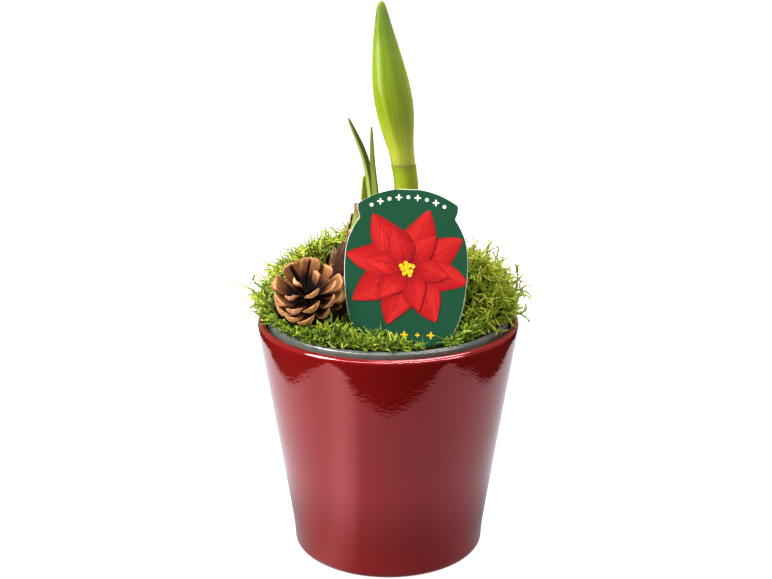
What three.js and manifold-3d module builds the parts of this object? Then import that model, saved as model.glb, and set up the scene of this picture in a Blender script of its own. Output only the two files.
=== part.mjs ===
// A forced amaryllis (Hippeastrum): one bulb with a closed flower bud and young leaves, planted in
// potting soil in a grey plastic nursery pot, which stands in a tapered glazed ceramic cachepot.
// Moss covers the soil, and a small open pine cone and a plant label are tucked into the moss.
//
// Millimetres, +Z up, front towards -Y. The origin is the centre of the cachepot's flat base.
import * as THREE from "three";
import { mergeVertices } from "three/addons/utils/BufferGeometryUtils.js";
import Module from "manifold-3d";

const wasm = await Module();
wasm.setup();

// ---------------------------------------------------------------- driving dimensions
const GAP = 0.35; // clearance between pieces that touch

const POT = {
  height: 135, rimRadius: 72.5, footRadius: 52.4, footSwell: 1.6, wall: 4.5, floor: 7, footRounding: 4,
};
const NURSERY = { top: 137.6, lipRadius: 67.3, lipInner: 63.4, lipDepth: 7, wall: 1.5, floorRadius: 46 };
const SOIL_TOP = 122;
const BULB = { x: -2, y: 2, base: 98, neckTop: 195 };
const STALK = { top: 221, halfWidth: 6.7, halfDepth: 5.8 };
const BUD_TIP_Z = 308.6;
const LABEL = { x: 8, y: -50, z: 133, tiltDeg: 20.6, turnDeg: 1.8, thickness: 0.8, height: 85.2 };
const CONE = { x: -42.5, y: -30.5, z: 158, middle: 16, elevationDeg: 62, leanDeg: 8, scales: 46 };
const MOSS = {
  edgeRadius: 67, frontRadius: 62.3, sideShare: 1.12, dipX: 15, dipDepth: 8, sprigs: 200, seed: 7,
};

// ---------------------------------------------------------------- shared helpers
const DEG = Math.PI / 180;
const GOLDEN_ANGLE = Math.PI * (3 - Math.sqrt(5));
const mix = THREE.MathUtils.lerp;
const smooth = (x, low, high) => THREE.MathUtils.smoothstep(x, low, high);

function seededRandom(seed) {
  let state = seed;
  return () => {
    state = (state * 1664525 + 1013904223) % 4294967296;
    return state / 4294967296;
  };
}

// Value at x on a smooth curve through the rows of a table of [x, value], x rising.
function along(rows, x) {
  if (x <= rows[0][0]) return rows[0][1];
  const last = rows.length - 1;
  if (x >= rows[last][0]) return rows[last][1];
  const i = rows.findIndex((row) => row[0] > x) - 1;
  const slope = (k) => {
    const a = rows[Math.max(k - 1, 0)];
    const b = rows[Math.min(k + 1, last)];
    return (b[1] - a[1]) / (b[0] - a[0]);
  };
  const h = rows[i + 1][0] - rows[i][0];
  const t = (x - rows[i][0]) / h;
  const [t2, t3] = [t * t, t * t * t];
  return (
    (2 * t3 - 3 * t2 + 1) * rows[i][1] +
    (t3 - 2 * t2 + t) * h * slope(i) +
    (3 * t2 - 2 * t3) * rows[i + 1][1] +
    (t3 - t2) * h * slope(i + 1)
  );
}

// A closed geometry as a manifold-3d solid with its faces pointing out.
function solidOf(geometry) {
  const bare = new THREE.BufferGeometry().setAttribute("position", geometry.getAttribute("position"));
  if (geometry.index) bare.setIndex(geometry.index);
  const merged = mergeVertices(bare, 1e-4);
  const triVerts = new Uint32Array(merged.index.array);
  const made = () =>
    new wasm.Manifold(
      new wasm.Mesh({ numProp: 3, vertProperties: merged.attributes.position.array, triVerts }),
    );
  const solid = made();
  if (solid.volume() > 0) return solid;
  for (let i = 0; i < triVerts.length; i += 3) {
    [triVerts[i + 1], triVerts[i + 2]] = [triVerts[i + 2], triVerts[i + 1]];
  }
  return made();
}

const union = (solids) => wasm.Manifold.union(solids);

// The largest body of a solid, without the loose scraps that a cut leaves.
function mainBody(solid) {
  return solid.decompose().reduce((a, b) => (b.volume() > a.volume() ? b : a));
}

function geometryOf(solid) {
  const mesh = solid.getMesh();
  const geometry = new THREE.BufferGeometry();
  const positions = new Float32Array(mesh.numVert * 3);
  for (let i = 0; i < mesh.numVert; i++) {
    positions.set(mesh.vertProperties.subarray(i * mesh.numProp, i * mesh.numProp + 3), i * 3);
  }
  geometry.setAttribute("position", new THREE.BufferAttribute(positions, 3));
  geometry.setIndex(new THREE.BufferAttribute(mesh.triVerts, 1));
  geometry.computeVertexNormals();
  return geometry;
}

function namedMesh(name, solid, color, roughness) {
  const mesh = new THREE.Mesh(
    geometryOf(solid),
    new THREE.MeshStandardMaterial({ color, roughness, metalness: 0 }),
  );
  mesh.name = name;
  return mesh;
}

// [radius, z] points of a round stretch of a profile.
function arc(centreR, centreZ, radius, fromDeg, toDeg, steps) {
  return Array.from({ length: steps + 1 }, (_, i) => {
    const a = mix(fromDeg, toDeg, i / steps) * DEG;
    return [centreR + radius * Math.cos(a), centreZ + radius * Math.sin(a)];
  });
}

// A solid turned about Z from a closed profile of [radius, z] points.
function turned(profile, segments) {
  const points = [...profile, profile[0]].map(([r, z]) => new THREE.Vector2(Math.max(r, 0), z));
  return solidOf(new THREE.LatheGeometry(points, segments).rotateX(Math.PI / 2));
}

// A solid through rings of points. Every ring has as many points, or only one where the form ends in a tip.
function loft(rings) {
  const positions = rings.flat().flatMap((p) => [p.x, p.y, p.z]);
  const index = [];
  const starts = [];
  rings.reduce((start, ring) => {
    starts.push(start);
    return start + ring.length;
  }, 0);
  for (let k = 0; k + 1 < rings.length; k++) {
    const [a, b] = [starts[k], starts[k + 1]];
    const [na, nb] = [rings[k].length, rings[k + 1].length];
    const n = Math.max(na, nb);
    for (let j = 0; j < n; j++) {
      const next = (j + 1) % n;
      if (na > 1) index.push(a + j, a + next, nb > 1 ? b + next : b);
      if (nb > 1) index.push(na > 1 ? a + j : a, b + next, b + j);
    }
  }
  const cap = (start, ring, flip) => {
    if (ring.length === 1) return;
    const normal = new THREE.Vector3();
    ring.forEach((p, j) => normal.add(new THREE.Vector3().crossVectors(p, ring[(j + 1) % ring.length])));
    const u = new THREE.Vector3().subVectors(ring[1], ring[0]).normalize();
    const v = new THREE.Vector3().crossVectors(normal.normalize(), u);
    const flat = ring.map((p) => new THREE.Vector2(p.dot(u), p.dot(v)));
    for (const [a, b, c] of THREE.ShapeUtils.triangulateShape(flat, [])) {
      index.push(start + a, start + (flip ? c : b), start + (flip ? b : c));
    }
  };
  cap(starts[0], rings[0], true);
  cap(starts[rings.length - 1], rings[rings.length - 1], false);
  const geometry = new THREE.BufferGeometry();
  geometry.setAttribute("position", new THREE.Float32BufferAttribute(positions, 3));
  geometry.setIndex(index);
  return solidOf(geometry);
}

// ---------------------------------------------------------------- pots and soil
const potSlope = (POT.rimRadius - 0.2 - POT.footRadius) / (POT.height - POT.wall);
const potInnerRadius = (z) => POT.footRadius + potSlope * z - POT.wall;
// The straight wall swells a little just above the foot.
const potOuterRadius = (z) => POT.footRadius + potSlope * z + POT.footSwell * Math.exp(-z / 6);

function cachepot() {
  const lip = POT.wall / 2;
  const rounding = POT.footRounding;
  const profile = [
    [0, 0],
    ...arc(potOuterRadius(rounding) - rounding, rounding, rounding, -90, -8, 4),
    ...[8, 13, 20, 100].map((z) => [potOuterRadius(z), z]),
    [POT.rimRadius - 0.6, POT.height - lip - 4],
    ...arc(POT.rimRadius - lip, POT.height - lip, lip, 0, 180, 6),
    [potInnerRadius(100), 100],
    [potInnerRadius(POT.floor + 5), POT.floor + 5],
    [potInnerRadius(POT.floor) - 3, POT.floor],
    [0, POT.floor],
  ];
  return turned(profile, 48);
}

const nurseryBase = POT.floor + GAP;
const nurseryShoulder = NURSERY.top - NURSERY.lipDepth;
// Outer radius of the nursery pot's wall, below its lip.
const nurseryRadius = (z) =>
  mix(NURSERY.floorRadius, NURSERY.lipInner + 1, (z - nurseryBase) / (nurseryShoulder - nurseryBase));

function nurseryPot() {
  const { top, lipRadius, lipInner, wall, floorRadius } = NURSERY;
  const round = (lipRadius - lipInner) / 2;
  const profile = [
    [0, nurseryBase],
    [floorRadius - 1.5, nurseryBase],
    [floorRadius, nurseryBase + 1.5],
    [nurseryRadius(nurseryShoulder - 0.5), nurseryShoulder - 0.5],
    [lipRadius - 0.4, nurseryShoulder],
    ...arc(lipRadius - round, top - round, round, 0, 180, 5),
    [lipInner, nurseryShoulder + 1],
    [nurseryRadius(nurseryShoulder - 1) - wall, nurseryShoulder - 1],
    [floorRadius - wall, nurseryBase + wall],
    [0, nurseryBase + wall],
  ];
  const drain = new THREE.CylinderGeometry(4, 4, 8, 10).rotateX(Math.PI / 2);
  const drains = Array.from({ length: 6 }, (_, i) => {
    const a = (i + 0.5) * 60 * DEG;
    return solidOf(drain.clone().translate(30 * Math.cos(a), 30 * Math.sin(a), nurseryBase));
  });
  return turned(profile, 48).subtract(union(drains));
}

function soilBlock() {
  const inner = (z) => nurseryRadius(z) - NURSERY.wall - GAP;
  const bottom = nurseryBase + NURSERY.wall + GAP;
  const edge = SOIL_TOP - 3;
  const profile = [[0, bottom], [inner(bottom), bottom], [inner(edge), edge], [44, SOIL_TOP], [0, SOIL_TOP]];
  return turned(profile, 36);
}

// ---------------------------------------------------------------- bulb
const BULB_PROFILE = [
  [98, 9],
  [101, 15],
  [108, 24.5],
  [118, 31],
  [130, 34.5],
  [140, 34.5],
  [150, 31.8],
  [158, 28.4],
  [166, 24.8],
  [174, 21.5],
  [182, 20.4],
  [187.5, 19.6],
  [189.5, 18.1],
  [195, 16.9],
];

// The dry outer skin ends in a torn edge: how far it stands above the neck's mean height.
const tornEdge = (a) => 1.6 * Math.sin(3 * a + 0.7) + 1.1 * Math.sin(7 * a + 2);
const bulbRib = (a, z) => 0.35 * Math.sin(9 * a + z * 0.05) + 0.25 * Math.sin(14 * a + 1.3);

function bulbBody(clearance) {
  const sides = 28;
  const rows = [98, 101, 106, 113, 121, 130, 140, 149, 157, 165, 173, 181, 187.5, 189.5, BULB.neckTop];
  const rings = rows.map((z, k) =>
    Array.from({ length: sides }, (_, j) => {
      const a = (j / sides) * 2 * Math.PI;
      const r = along(BULB_PROFILE, z) + clearance + bulbRib(a, z);
      const lift = k === rows.length - 1 ? tornEdge(a) + clearance : 0;
      const sink = k === 0 ? -clearance : 0;
      return new THREE.Vector3(BULB.x + r * Math.cos(a), BULB.y + r * Math.sin(a), z + lift + sink);
    }),
  );
  return loft(rings);
}

// Stiff flakes of dry skin that stand off the bulb's shoulder.
const FLAKE_THICKNESS = 0.9;
const SKIN_FLAKES = [
  { bearingDeg: 186, z: 152, length: 17, width: 13, lean: 5 },
  { bearingDeg: 120, z: 160, length: 15, width: 12, lean: 3 },
  { bearingDeg: 28, z: 158, length: 16, width: 14, lean: 4 },
  { bearingDeg: 262, z: 163, length: 14, width: 12, lean: 2.5 },
];

function skinFlake({ bearingDeg, z, length, width, lean }, clearance) {
  const a = bearingDeg * DEG;
  const out = new THREE.Vector3(Math.cos(a), Math.sin(a), 0);
  const side = new THREE.Vector3(-Math.sin(a), Math.cos(a), 0);
  return loft(
    [0, 0.5, 1].map((t) => {
      const r = along(BULB_PROFILE, z) - 1.5 + lean * t * t;
      const half = (width / 2) * (1 - 0.55 * t * t) + clearance;
      const rise = length * t + (t - 0.5) * 3 * clearance;
      const centre = new THREE.Vector3(BULB.x, BULB.y, z + rise).addScaledVector(out, r);
      const [inside, outside] = [-clearance, FLAKE_THICKNESS + clearance];
      return [[-half, inside], [half, inside], [half, outside], [-half, outside]].map(([u, n]) =>
        centre.clone().addScaledVector(side, u).addScaledVector(out, n),
      );
    }),
  );
}

// ---------------------------------------------------------------- stalk, bud and leaves
const STALK_ROOT_Z = 184;
// At a height: X of the stalk's centre line, X of the bud's two edges seen from the front, and the
// bud's half depth.
const STALK_X = [[184, 8.4], [198, 9.6], [210, 9.7], [221, 8.3]];
const BUD_LEFT = [
  [221, 1.7], [228, 0.2], [234, -1.9], [241, -4.1], [248, -6], [258, -7.9],
  [270, -8.6], [285, -8.2], [296, -7.2], [304, -5.9], [308.6, -3.6],
];
const BUD_RIGHT = [
  [221, 14.7], [232, 13.7], [248, 13.8], [258, 12.8],
  [270, 10], [285, 5.4], [296, 1.8], [304, -1], [308.6, -3.2],
];
const BUD_DEPTH = [
  [221, 6.1], [232, 7.2], [248, 9.3], [258, 9.6],
  [270, 8.9], [285, 6.7], [296, 4.5], [304, 2.1], [308.6, 0.3],
];

function stalk(clearance) {
  const sides = 18;
  const rows = [STALK_ROOT_Z - clearance, 198, 210, STALK.top];
  return loft(
    rows.map((z) =>
      Array.from({ length: sides }, (_, j) => {
        const a = (j / sides) * 2 * Math.PI;
        return new THREE.Vector3(
          along(STALK_X, z) + (STALK.halfWidth + clearance) * Math.cos(a),
          BULB.y - 2 + (STALK.halfDepth + clearance) * Math.sin(a),
          z,
        );
      }),
    ),
  );
}

// The closed bud: two bracts that meet in a blunt keel on each narrow side.
function bud() {
  const sides = 22;
  const rows = [STALK.top + GAP, 224, 230, 238, 247, 256, 265, 275, 285, 294, 301, 306];
  const rings = rows.map((z) => {
    const [left, right] = [along(BUD_LEFT, z), along(BUD_RIGHT, z)];
    const [centre, half] = [(left + right) / 2, (right - left) / 2];
    return Array.from({ length: sides }, (_, j) => {
      const a = (j / sides) * 2 * Math.PI;
      const keel = 1 + 0.05 * Math.cos(2 * (a - 1.95)) ** 8;
      return new THREE.Vector3(
        centre + half * Math.cos(a),
        BULB.y - 2 + along(BUD_DEPTH, z) * keel * Math.sin(a),
        z,
      );
    });
  });
  return loft([...rings, [new THREE.Vector3(-3.4, BULB.y - 2, BUD_TIP_Z)]]);
}

// A young strap leaf: a keeled blade along a curve, folded about its midrib.
// facingDeg is the bearing that the leaf's hollow side faces.
const LEAVES = [
  {
    name: "leaf_long",
    path: [[-6.9, 2, 184], [-9, 2, 205], [-13.4, 1, 225], [-21.6, -0.5, 247]],
    facingDeg: -40,
    halfWidth: 3.9,
    fold: 2.4,
  },
  {
    name: "leaf_middle",
    path: [[-6.2, -3.6, 184], [-7.2, -3.4, 206], [-8.6, -3.6, 225], [-9.2, -4, 241.8]],
    facingDeg: 215,
    halfWidth: 2.4,
    fold: 1.7,
  },
  {
    name: "leaf_short",
    path: [[-11.4, 5.6, 184], [-12, 5.6, 198], [-12.5, 5.2, 207], [-13.2, 4.6, 214.6]],
    facingDeg: -65,
    halfWidth: 3.9,
    fold: 1.6,
  },
  {
    name: "leaf_young",
    path: [[-3.6, -8.2, 184], [-3.8, -7.8, 193], [-4, -7.2, 201], [-4.2, -6.6, 208.2]],
    facingDeg: 80,
    halfWidth: 2,
    fold: 1.2,
  },
];
const LEAF_THICKNESS = 1.1;

function leaf({ path, facingDeg, halfWidth, fold }, clearance) {
  const curve = new THREE.CatmullRomCurve3(path.map((p) => new THREE.Vector3(...p)));
  const facing = new THREE.Vector3(Math.cos(facingDeg * DEG), Math.sin(facingDeg * DEG), 0);
  const steps = 9;
  const rings = Array.from({ length: steps }, (_, k) => {
    const t = k / steps;
    const centre = curve.getPointAt(t);
    const tangent = curve.getTangentAt(t);
    const across = new THREE.Vector3().crossVectors(tangent, facing).normalize();
    const inward = new THREE.Vector3().crossVectors(across, tangent).normalize();
    const taper = Math.sqrt(1 - t ** 1.6);
    const half = halfWidth * taper + clearance;
    const thick = LEAF_THICKNESS * (0.55 + 0.45 * taper);
    const depth = fold * taper;
    const outline = [
      [-half, -clearance],
      [0, -depth - clearance],
      [half, -clearance],
      [half * 0.86, thick + clearance],
      [0, thick - depth + clearance],
      [-half * 0.86, thick + clearance],
    ];
    if (k === 0) centre.addScaledVector(tangent, -clearance);
    return outline.map(([u, n]) =>
      centre.clone().addScaledVector(across, u).addScaledVector(inward, n),
    );
  });
  return loft([...rings, [curve.getPointAt(1)]]);
}

// ---------------------------------------------------------------- plant label
// Half width of the label's outline at height v above its visible foot, like a lidded urn.
const LABEL_ARC_RADIUS = 46.8;
const LABEL_SHAPE = [
  [0, 19], [4, 22], [7, 24.4], [11, 26.7], [15, 28.4], [20, 29.9], [25, 30.9],
  [35, 32.1], [45, 32.5], [50, 32.3], [55, 31.7], [60, 30.3], [65, 28], [69.4, 25.3],
];
const LABEL_STAKE = [[-45, 0.6], [-39, 4], [-14, 5], [-8, 8], [-3, 15], [0, 19]];
const LABEL_SHOULDER = { halfWidth: 26.5, notchHalfWidth: 25.3, from: 69.4, to: 74 };

function labelHalfWidth(v) {
  if (v < 0) return along(LABEL_STAKE, v);
  const { halfWidth, notchHalfWidth, from, to } = LABEL_SHOULDER;
  if (v < from) return along(LABEL_SHAPE, v);
  const rise = v - (LABEL.height - LABEL_ARC_RADIUS);
  const arcHalf = Math.sqrt(Math.max(0, LABEL_ARC_RADIUS ** 2 - rise ** 2)) - 0.4;
  return Math.max(0.8, Math.min(mix(notchHalfWidth, halfWidth, smooth(v, from, to)), arcHalf));
}

// The card leans back on straight lines above the moss and bends upright where it enters the soil.
function labelCentre(v) {
  const turn = LABEL.turnDeg * DEG;
  const point = new THREE.Vector3(LABEL.x, LABEL.y, LABEL.z);
  const tiltAt = (w) => LABEL.tiltDeg * DEG * smooth(w, -18, 0);
  const up = (tilt) =>
    new THREE.Vector3(Math.sin(turn), Math.cos(turn) * Math.sin(tilt), Math.cos(turn) * Math.cos(tilt));
  if (v >= 0) return { point: point.addScaledVector(up(tiltAt(0)), v), tilt: tiltAt(0) };
  const step = 0.5;
  for (let w = 0; w > v; w -= step) point.addScaledVector(up(tiltAt(w)), -step);
  return { point, tilt: tiltAt(v) };
}

const LABEL_ROWS = [
  -45, -39, -26, -18, -14, -10, -6, -3, 0, 4, 7, 11, 15, 20, 25, 35, 45, 50, 55, 60, 65,
  69.4, 71.5, 73.6, 76, 77.2, 78.4, 80, 81.6, 83, 84.2, 85,
];

function label(clearance) {
  const turn = LABEL.turnDeg * DEG;
  return loft(
    LABEL_ROWS.map((v, k) => {
      const { point, tilt } = labelCentre(v);
      const back = new THREE.Vector3(0, Math.cos(tilt), -Math.sin(tilt));
      const [s, c] = [Math.sin(turn), Math.cos(turn)];
      const across = new THREE.Vector3(c, -s * Math.sin(tilt), -s * Math.cos(tilt));
      const end = k === 0 ? -clearance : k === LABEL_ROWS.length - 1 ? clearance : 0;
      const half = labelHalfWidth(v) + clearance;
      const thick = LABEL.thickness / 2 + clearance;
      point.z += end;
      return [[-half, -thick], [half, -thick], [half, thick], [-half, thick]].map(([u, n]) =>
        point.clone().addScaledVector(across, u).addScaledVector(back, n),
      );
    }),
  );
}

// ---------------------------------------------------------------- pine cone
// The cone is made upright on its stem end at the origin, then laid with its open top up and forward.
function conePlacement() {
  return new THREE.Matrix4()
    .makeTranslation(CONE.x, CONE.y, CONE.z)
    .multiply(new THREE.Matrix4().makeRotationY(CONE.leanDeg * DEG))
    .multiply(new THREE.Matrix4().makeRotationX((90 - CONE.elevationDeg) * DEG))
    .multiply(new THREE.Matrix4().makeTranslation(0, 0, -CONE.middle));
}

// From the lowest scale (0) to the highest (1): the angle that it rises from level, and its length.
const SCALE_RISE = [[0, -14], [0.2, 8], [0.45, 27], [0.7, 41], [0.85, 52], [1, 72]];
const SCALE_LENGTH = [[0, 12], [0.12, 17], [0.3, 20.5], [0.5, 21], [0.7, 18.5], [0.85, 14.5], [1, 8]];
// Along a scale: share of its length, half width, thickness above and below its middle, and curl.
const SCALE_STATIONS = [
  [0.1, 1.4, 0.8, 0.8, 0],
  [0.55, 3.7, 0.5, 0.6, 0],
  [0.82, 5.1, 0.5, 1.2, 0.5],
  [0.94, 4.7, 0.5, 2.3, 1],
  [1, 3.2, 0.2, 1.4, 1.3],
];

function coneScale(i) {
  const share = (i + 0.5) / CONE.scales;
  const rise = along(SCALE_RISE, share) * DEG;
  const length = along(SCALE_LENGTH, share);
  const size = mix(1, 0.6, share ** 3) * mix(0.8, 1, smooth(share, 0, 0.15));
  const a = i * GOLDEN_ANGLE;
  const out = new THREE.Vector3(Math.cos(a) * Math.cos(rise), Math.sin(a) * Math.cos(rise), Math.sin(rise));
  const side = new THREE.Vector3(-Math.sin(a), Math.cos(a), 0);
  const top = new THREE.Vector3().crossVectors(out, side).normalize();
  return loft(
    SCALE_STATIONS.map(([t, half, above, below, curl]) => {
      const centre = new THREE.Vector3(0, 0, mix(3, 22, share))
        .addScaledVector(out, length * t)
        .addScaledVector(top, curl * size);
      const w = half * size;
      return [[-w, w * 0.15], [0, -below * size], [w, w * 0.15], [0, above * size]].map(([u, n]) =>
        centre.clone().addScaledVector(side, u).addScaledVector(top, n),
      );
    }),
  );
}

function pineCone() {
  const core = turned([[0, 0], [5, 0.6], [7, 6], [6, 14], [4, 21], [0, 25]], 10);
  const scales = Array.from({ length: CONE.scales }, (_, i) => coneScale(i));
  return union([core, ...scales]).transform(conePlacement().toArray()).simplify(0.02);
}

// Reach of the scales from the axis at a height above the stem end, with room for their curled tips.
const CONE_REACH = [[-3, 11], [0, 16.5], [5, 20.5], [18, 21.5], [27, 19], [32, 14]];

// The smooth body that just holds the cone, for the hollow that it lies in.
function coneEnvelope(clearance) {
  const side = CONE_REACH.map(([z, r]) => [r + clearance, z]);
  const low = CONE_REACH[0][0] - clearance;
  const high = CONE_REACH[CONE_REACH.length - 1][0] + 3;
  return turned([[0, low], ...side, [0, high]], 18).transform(conePlacement().toArray());
}

// ---------------------------------------------------------------- moss
const mossLipTop = NURSERY.top + GAP;

// 1 at the front of the pot, 0 at its sides and back.
const frontShare = (a) => smooth(-Math.sin(a), 0.1, 0.85);
const mossReach = (a) => mix(MOSS.edgeRadius, MOSS.frontRadius, frontShare(a));
const lumps = (a, r) =>
  1.7 * Math.sin(5 * a + r * 0.12) * Math.cos(r * 0.16 + 1) + 1.2 * Math.sin(9 * a - r * 0.2 + 2);

// The moss lies low before the label's foot.
function mossDip(x, y) {
  return MOSS.dipDepth * Math.exp(-(((x - MOSS.dipX) / 14) ** 2)) * smooth(-y, 34, 50);
}

// Height of the moss cushion's top at bearing a and share s of the way out to its edge.
function mossTop(a, s) {
  const front = frontShare(a);
  const r = s * mossReach(a);
  const inner = mix(177, 150, front);
  const outer = mix(149, 140, front);
  const height = mix(inner, outer, s ** mix(2.6, 1.1, front)) + lumps(a, r) * (1 - s ** 4);
  return height - mossDip(r * Math.cos(a), r * Math.sin(a));
}

// A point of the cushion's skin: up to s = 1 on its top, and past that down its side to the pot's lip.
function mossSkin(a, s) {
  const r = mossReach(a) * Math.min(s, 1) - Math.max(s - 1, 0) * 5;
  const side = (s - 1) / (MOSS.sideShare - 1);
  const z = s <= 1 ? mossTop(a, s) : mix(mossTop(a, 1), mossLipTop + 0.6, side);
  return new THREE.Vector3(r * Math.cos(a), r * Math.sin(a), z);
}

function mossCushion(random) {
  const sides = 36;
  const shares = [0.3, 0.5, 0.66, 0.8, 0.92, 1, MOSS.sideShare];
  const rough = (point, s) => {
    if (s >= 0.5 && s <= 1) point.z += (random() - 0.5) * 3.2;
    return point;
  };
  const skinRing = (s) =>
    Array.from({ length: sides }, (_, j) => rough(mossSkin((j / sides) * 2 * Math.PI, s), s));
  const flatRing = (radius, z) =>
    Array.from({ length: sides }, (_, j) => {
      const a = (j / sides) * 2 * Math.PI;
      return new THREE.Vector3(radius * Math.cos(a), radius * Math.sin(a), z);
    });
  return loft([
    [new THREE.Vector3(0, 0, 160)],
    ...shares.map(skinRing),
    flatRing(NURSERY.lipInner - 2 * GAP, mossLipTop - 1.5),
    flatRing(NURSERY.lipInner - 2.6, SOIL_TOP + GAP),
    [new THREE.Vector3(0, 0, SOIL_TOP + GAP)],
  ]);
}

// One shoot of moss: three-sided, bent once, with its root inside the cushion.
function mossSprig(random, i) {
  const a = i * GOLDEN_ANGLE;
  const s = mix(0.45, MOSS.sideShare, Math.sqrt((i + 0.5) / MOSS.sprigs));
  const radial = new THREE.Vector3(Math.cos(a), Math.sin(a), 0);
  const tangent = new THREE.Vector3(-Math.sin(a), Math.cos(a), 0);
  const front = frontShare(a);
  const edge = smooth(s, 0.75, 1);
  const growth = radial
    .clone()
    .multiplyScalar(mix(0.1, mix(1.1, 0.25, front), edge) + (random() - 0.5) * 0.8)
    .addScaledVector(tangent, (random() - 0.5) * 1.4);
  growth.z += mix(1, 0.45, edge);
  growth.normalize();
  const root = mossSkin(a, s).addScaledVector(growth, -1.8);
  const length = mix(11, 19, random()) * mix(1, 0.5, front);
  const bend = new THREE.Vector3(random() - 0.5, random() - 0.5, -0.3 - 0.5 * random())
    .multiplyScalar(length * 0.4);
  const spin = random() * Math.PI;
  const across = new THREE.Vector3().crossVectors(growth, tangent).normalize();
  const side = new THREE.Vector3().crossVectors(growth, across).normalize();
  const triangle = (centre, radius) =>
    [0, 1, 2].map((k) => {
      const turn = spin + (k * 2 * Math.PI) / 3;
      return centre
        .clone()
        .addScaledVector(across, radius * Math.cos(turn))
        .addScaledVector(side, radius * Math.sin(turn));
    });
  const middle = root.clone().addScaledVector(growth, length * 0.55);
  const tip = root.clone().addScaledVector(growth, length).add(bend);
  return loft([triangle(root, 1.5), triangle(middle, 1.1), [tip]]);
}

function moss(cutters) {
  const random = seededRandom(MOSS.seed);
  const sprigs = Array.from({ length: MOSS.sprigs }, (_, i) => mossSprig(random, i));
  const lipRound = (NURSERY.lipRadius - NURSERY.lipInner) / 2 + GAP;
  const rimGuard = turned(
    [
      [NURSERY.lipInner - GAP, 100],
      ...arc(NURSERY.lipRadius - lipRound + GAP, NURSERY.top + GAP - lipRound, lipRound, 180, 60, 4),
      ...arc(POT.rimRadius - POT.wall / 2, POT.height - POT.wall / 2, POT.wall / 2 + GAP, 70, 0, 3),
      [POT.rimRadius + GAP, 125],
      [68, 100],
    ],
    40,
  );
  const soilReach = NURSERY.lipInner + 3;
  const below = turned([[0, 60], [soilReach, 60], [soilReach, SOIL_TOP + GAP], [0, SOIL_TOP + GAP]], 12);
  const grown = union([mossCushion(random), ...sprigs]).subtract(union([rimGuard, below, ...cutters]));
  return mainBody(grown).simplify(0.03);
}

// ---------------------------------------------------------------- assembly
const bulbCutter = bulbBody(GAP);
const labelCutter = label(GAP);
const shoots = union([stalk(GAP), ...LEAVES.map((row) => leaf(row, GAP))]);
const flakes = (clearance) => SKIN_FLAKES.map((row) => skinFlake(row, clearance));
const bulb = union([bulbBody(0), ...flakes(0)]).subtract(shoots);
const mossRoom = [bulbCutter, labelCutter, coneEnvelope(GAP), ...flakes(1.5 * GAP)];

const group = new THREE.Group();
group.add(
  namedMesh("cachepot", cachepot(), 0x7c1016, 0.12),
  namedMesh("nursery_pot", nurseryPot(), 0x7d7e7b, 0.4),
  namedMesh("potting_soil", soilBlock().subtract(union([bulbCutter, labelCutter])), 0x2b1d13, 0.95),
  namedMesh("bulb", mainBody(bulb), 0x8a6238, 0.7),
  namedMesh("flower_stalk", stalk(0), 0xa3b52c, 0.45),
  namedMesh("flower_bud", bud(), 0x84a02c, 0.4),
  ...LEAVES.map((row) => namedMesh(row.name, leaf(row, 0), 0x4f7029, 0.45)),
  namedMesh("moss", moss(mossRoom), 0x6f8a1e, 0.9),
  namedMesh("pine_cone", pineCone(), 0x8f5f38, 0.75),
  namedMesh("plant_label", label(0), 0x17472f, 0.3),
);

export default group;
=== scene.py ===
"""Looks of the potted amaryllis: every visible piece, its material, the studio and the camera.

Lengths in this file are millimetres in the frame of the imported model, until `piece` turns them into
metres. The front of the pot faces -Y.
"""

import math

import bpy
import numpy as np
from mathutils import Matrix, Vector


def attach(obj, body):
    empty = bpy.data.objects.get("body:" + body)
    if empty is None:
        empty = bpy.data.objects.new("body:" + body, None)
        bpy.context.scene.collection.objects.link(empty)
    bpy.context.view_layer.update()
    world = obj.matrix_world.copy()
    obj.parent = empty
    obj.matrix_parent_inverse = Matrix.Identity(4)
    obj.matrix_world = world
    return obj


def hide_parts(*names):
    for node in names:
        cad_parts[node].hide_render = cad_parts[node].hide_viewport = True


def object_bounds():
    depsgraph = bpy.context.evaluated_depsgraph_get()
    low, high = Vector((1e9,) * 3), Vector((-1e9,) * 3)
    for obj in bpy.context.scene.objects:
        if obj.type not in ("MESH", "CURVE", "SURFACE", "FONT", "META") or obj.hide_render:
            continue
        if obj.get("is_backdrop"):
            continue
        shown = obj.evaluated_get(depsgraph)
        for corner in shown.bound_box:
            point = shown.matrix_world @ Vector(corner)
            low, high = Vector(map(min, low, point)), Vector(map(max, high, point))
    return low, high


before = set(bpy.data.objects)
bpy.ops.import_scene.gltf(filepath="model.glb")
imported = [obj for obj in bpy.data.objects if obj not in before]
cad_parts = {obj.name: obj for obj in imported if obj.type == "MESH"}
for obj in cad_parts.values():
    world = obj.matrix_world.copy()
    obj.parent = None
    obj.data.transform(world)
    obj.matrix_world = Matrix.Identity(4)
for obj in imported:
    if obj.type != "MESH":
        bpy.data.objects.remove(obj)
cad_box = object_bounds()

GOLDEN_ANGLE = math.pi * (3 - math.sqrt(5))
GAP = 0.35
ORIGIN = (0, 0, 0)


# ---------------------------------------------------------------- numbers shared with the solids
POT_HEIGHT, POT_RIM, POT_FOOT, POT_SWELL, POT_WALL, POT_FLOOR = 135, 72.5, 52.4, 1.6, 4.5, 7
LIP_TOP, LIP_OUTER, LIP_INNER, LIP_DEPTH, NURSERY_WALL = 137.6, 67.3, 63.4, 7, 1.5
BULB_X, BULB_Y = -2, 2
STALK_HALF_WIDTH, STALK_HALF_DEPTH, STALK_TOP = 6.7, 5.8, 221

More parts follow.
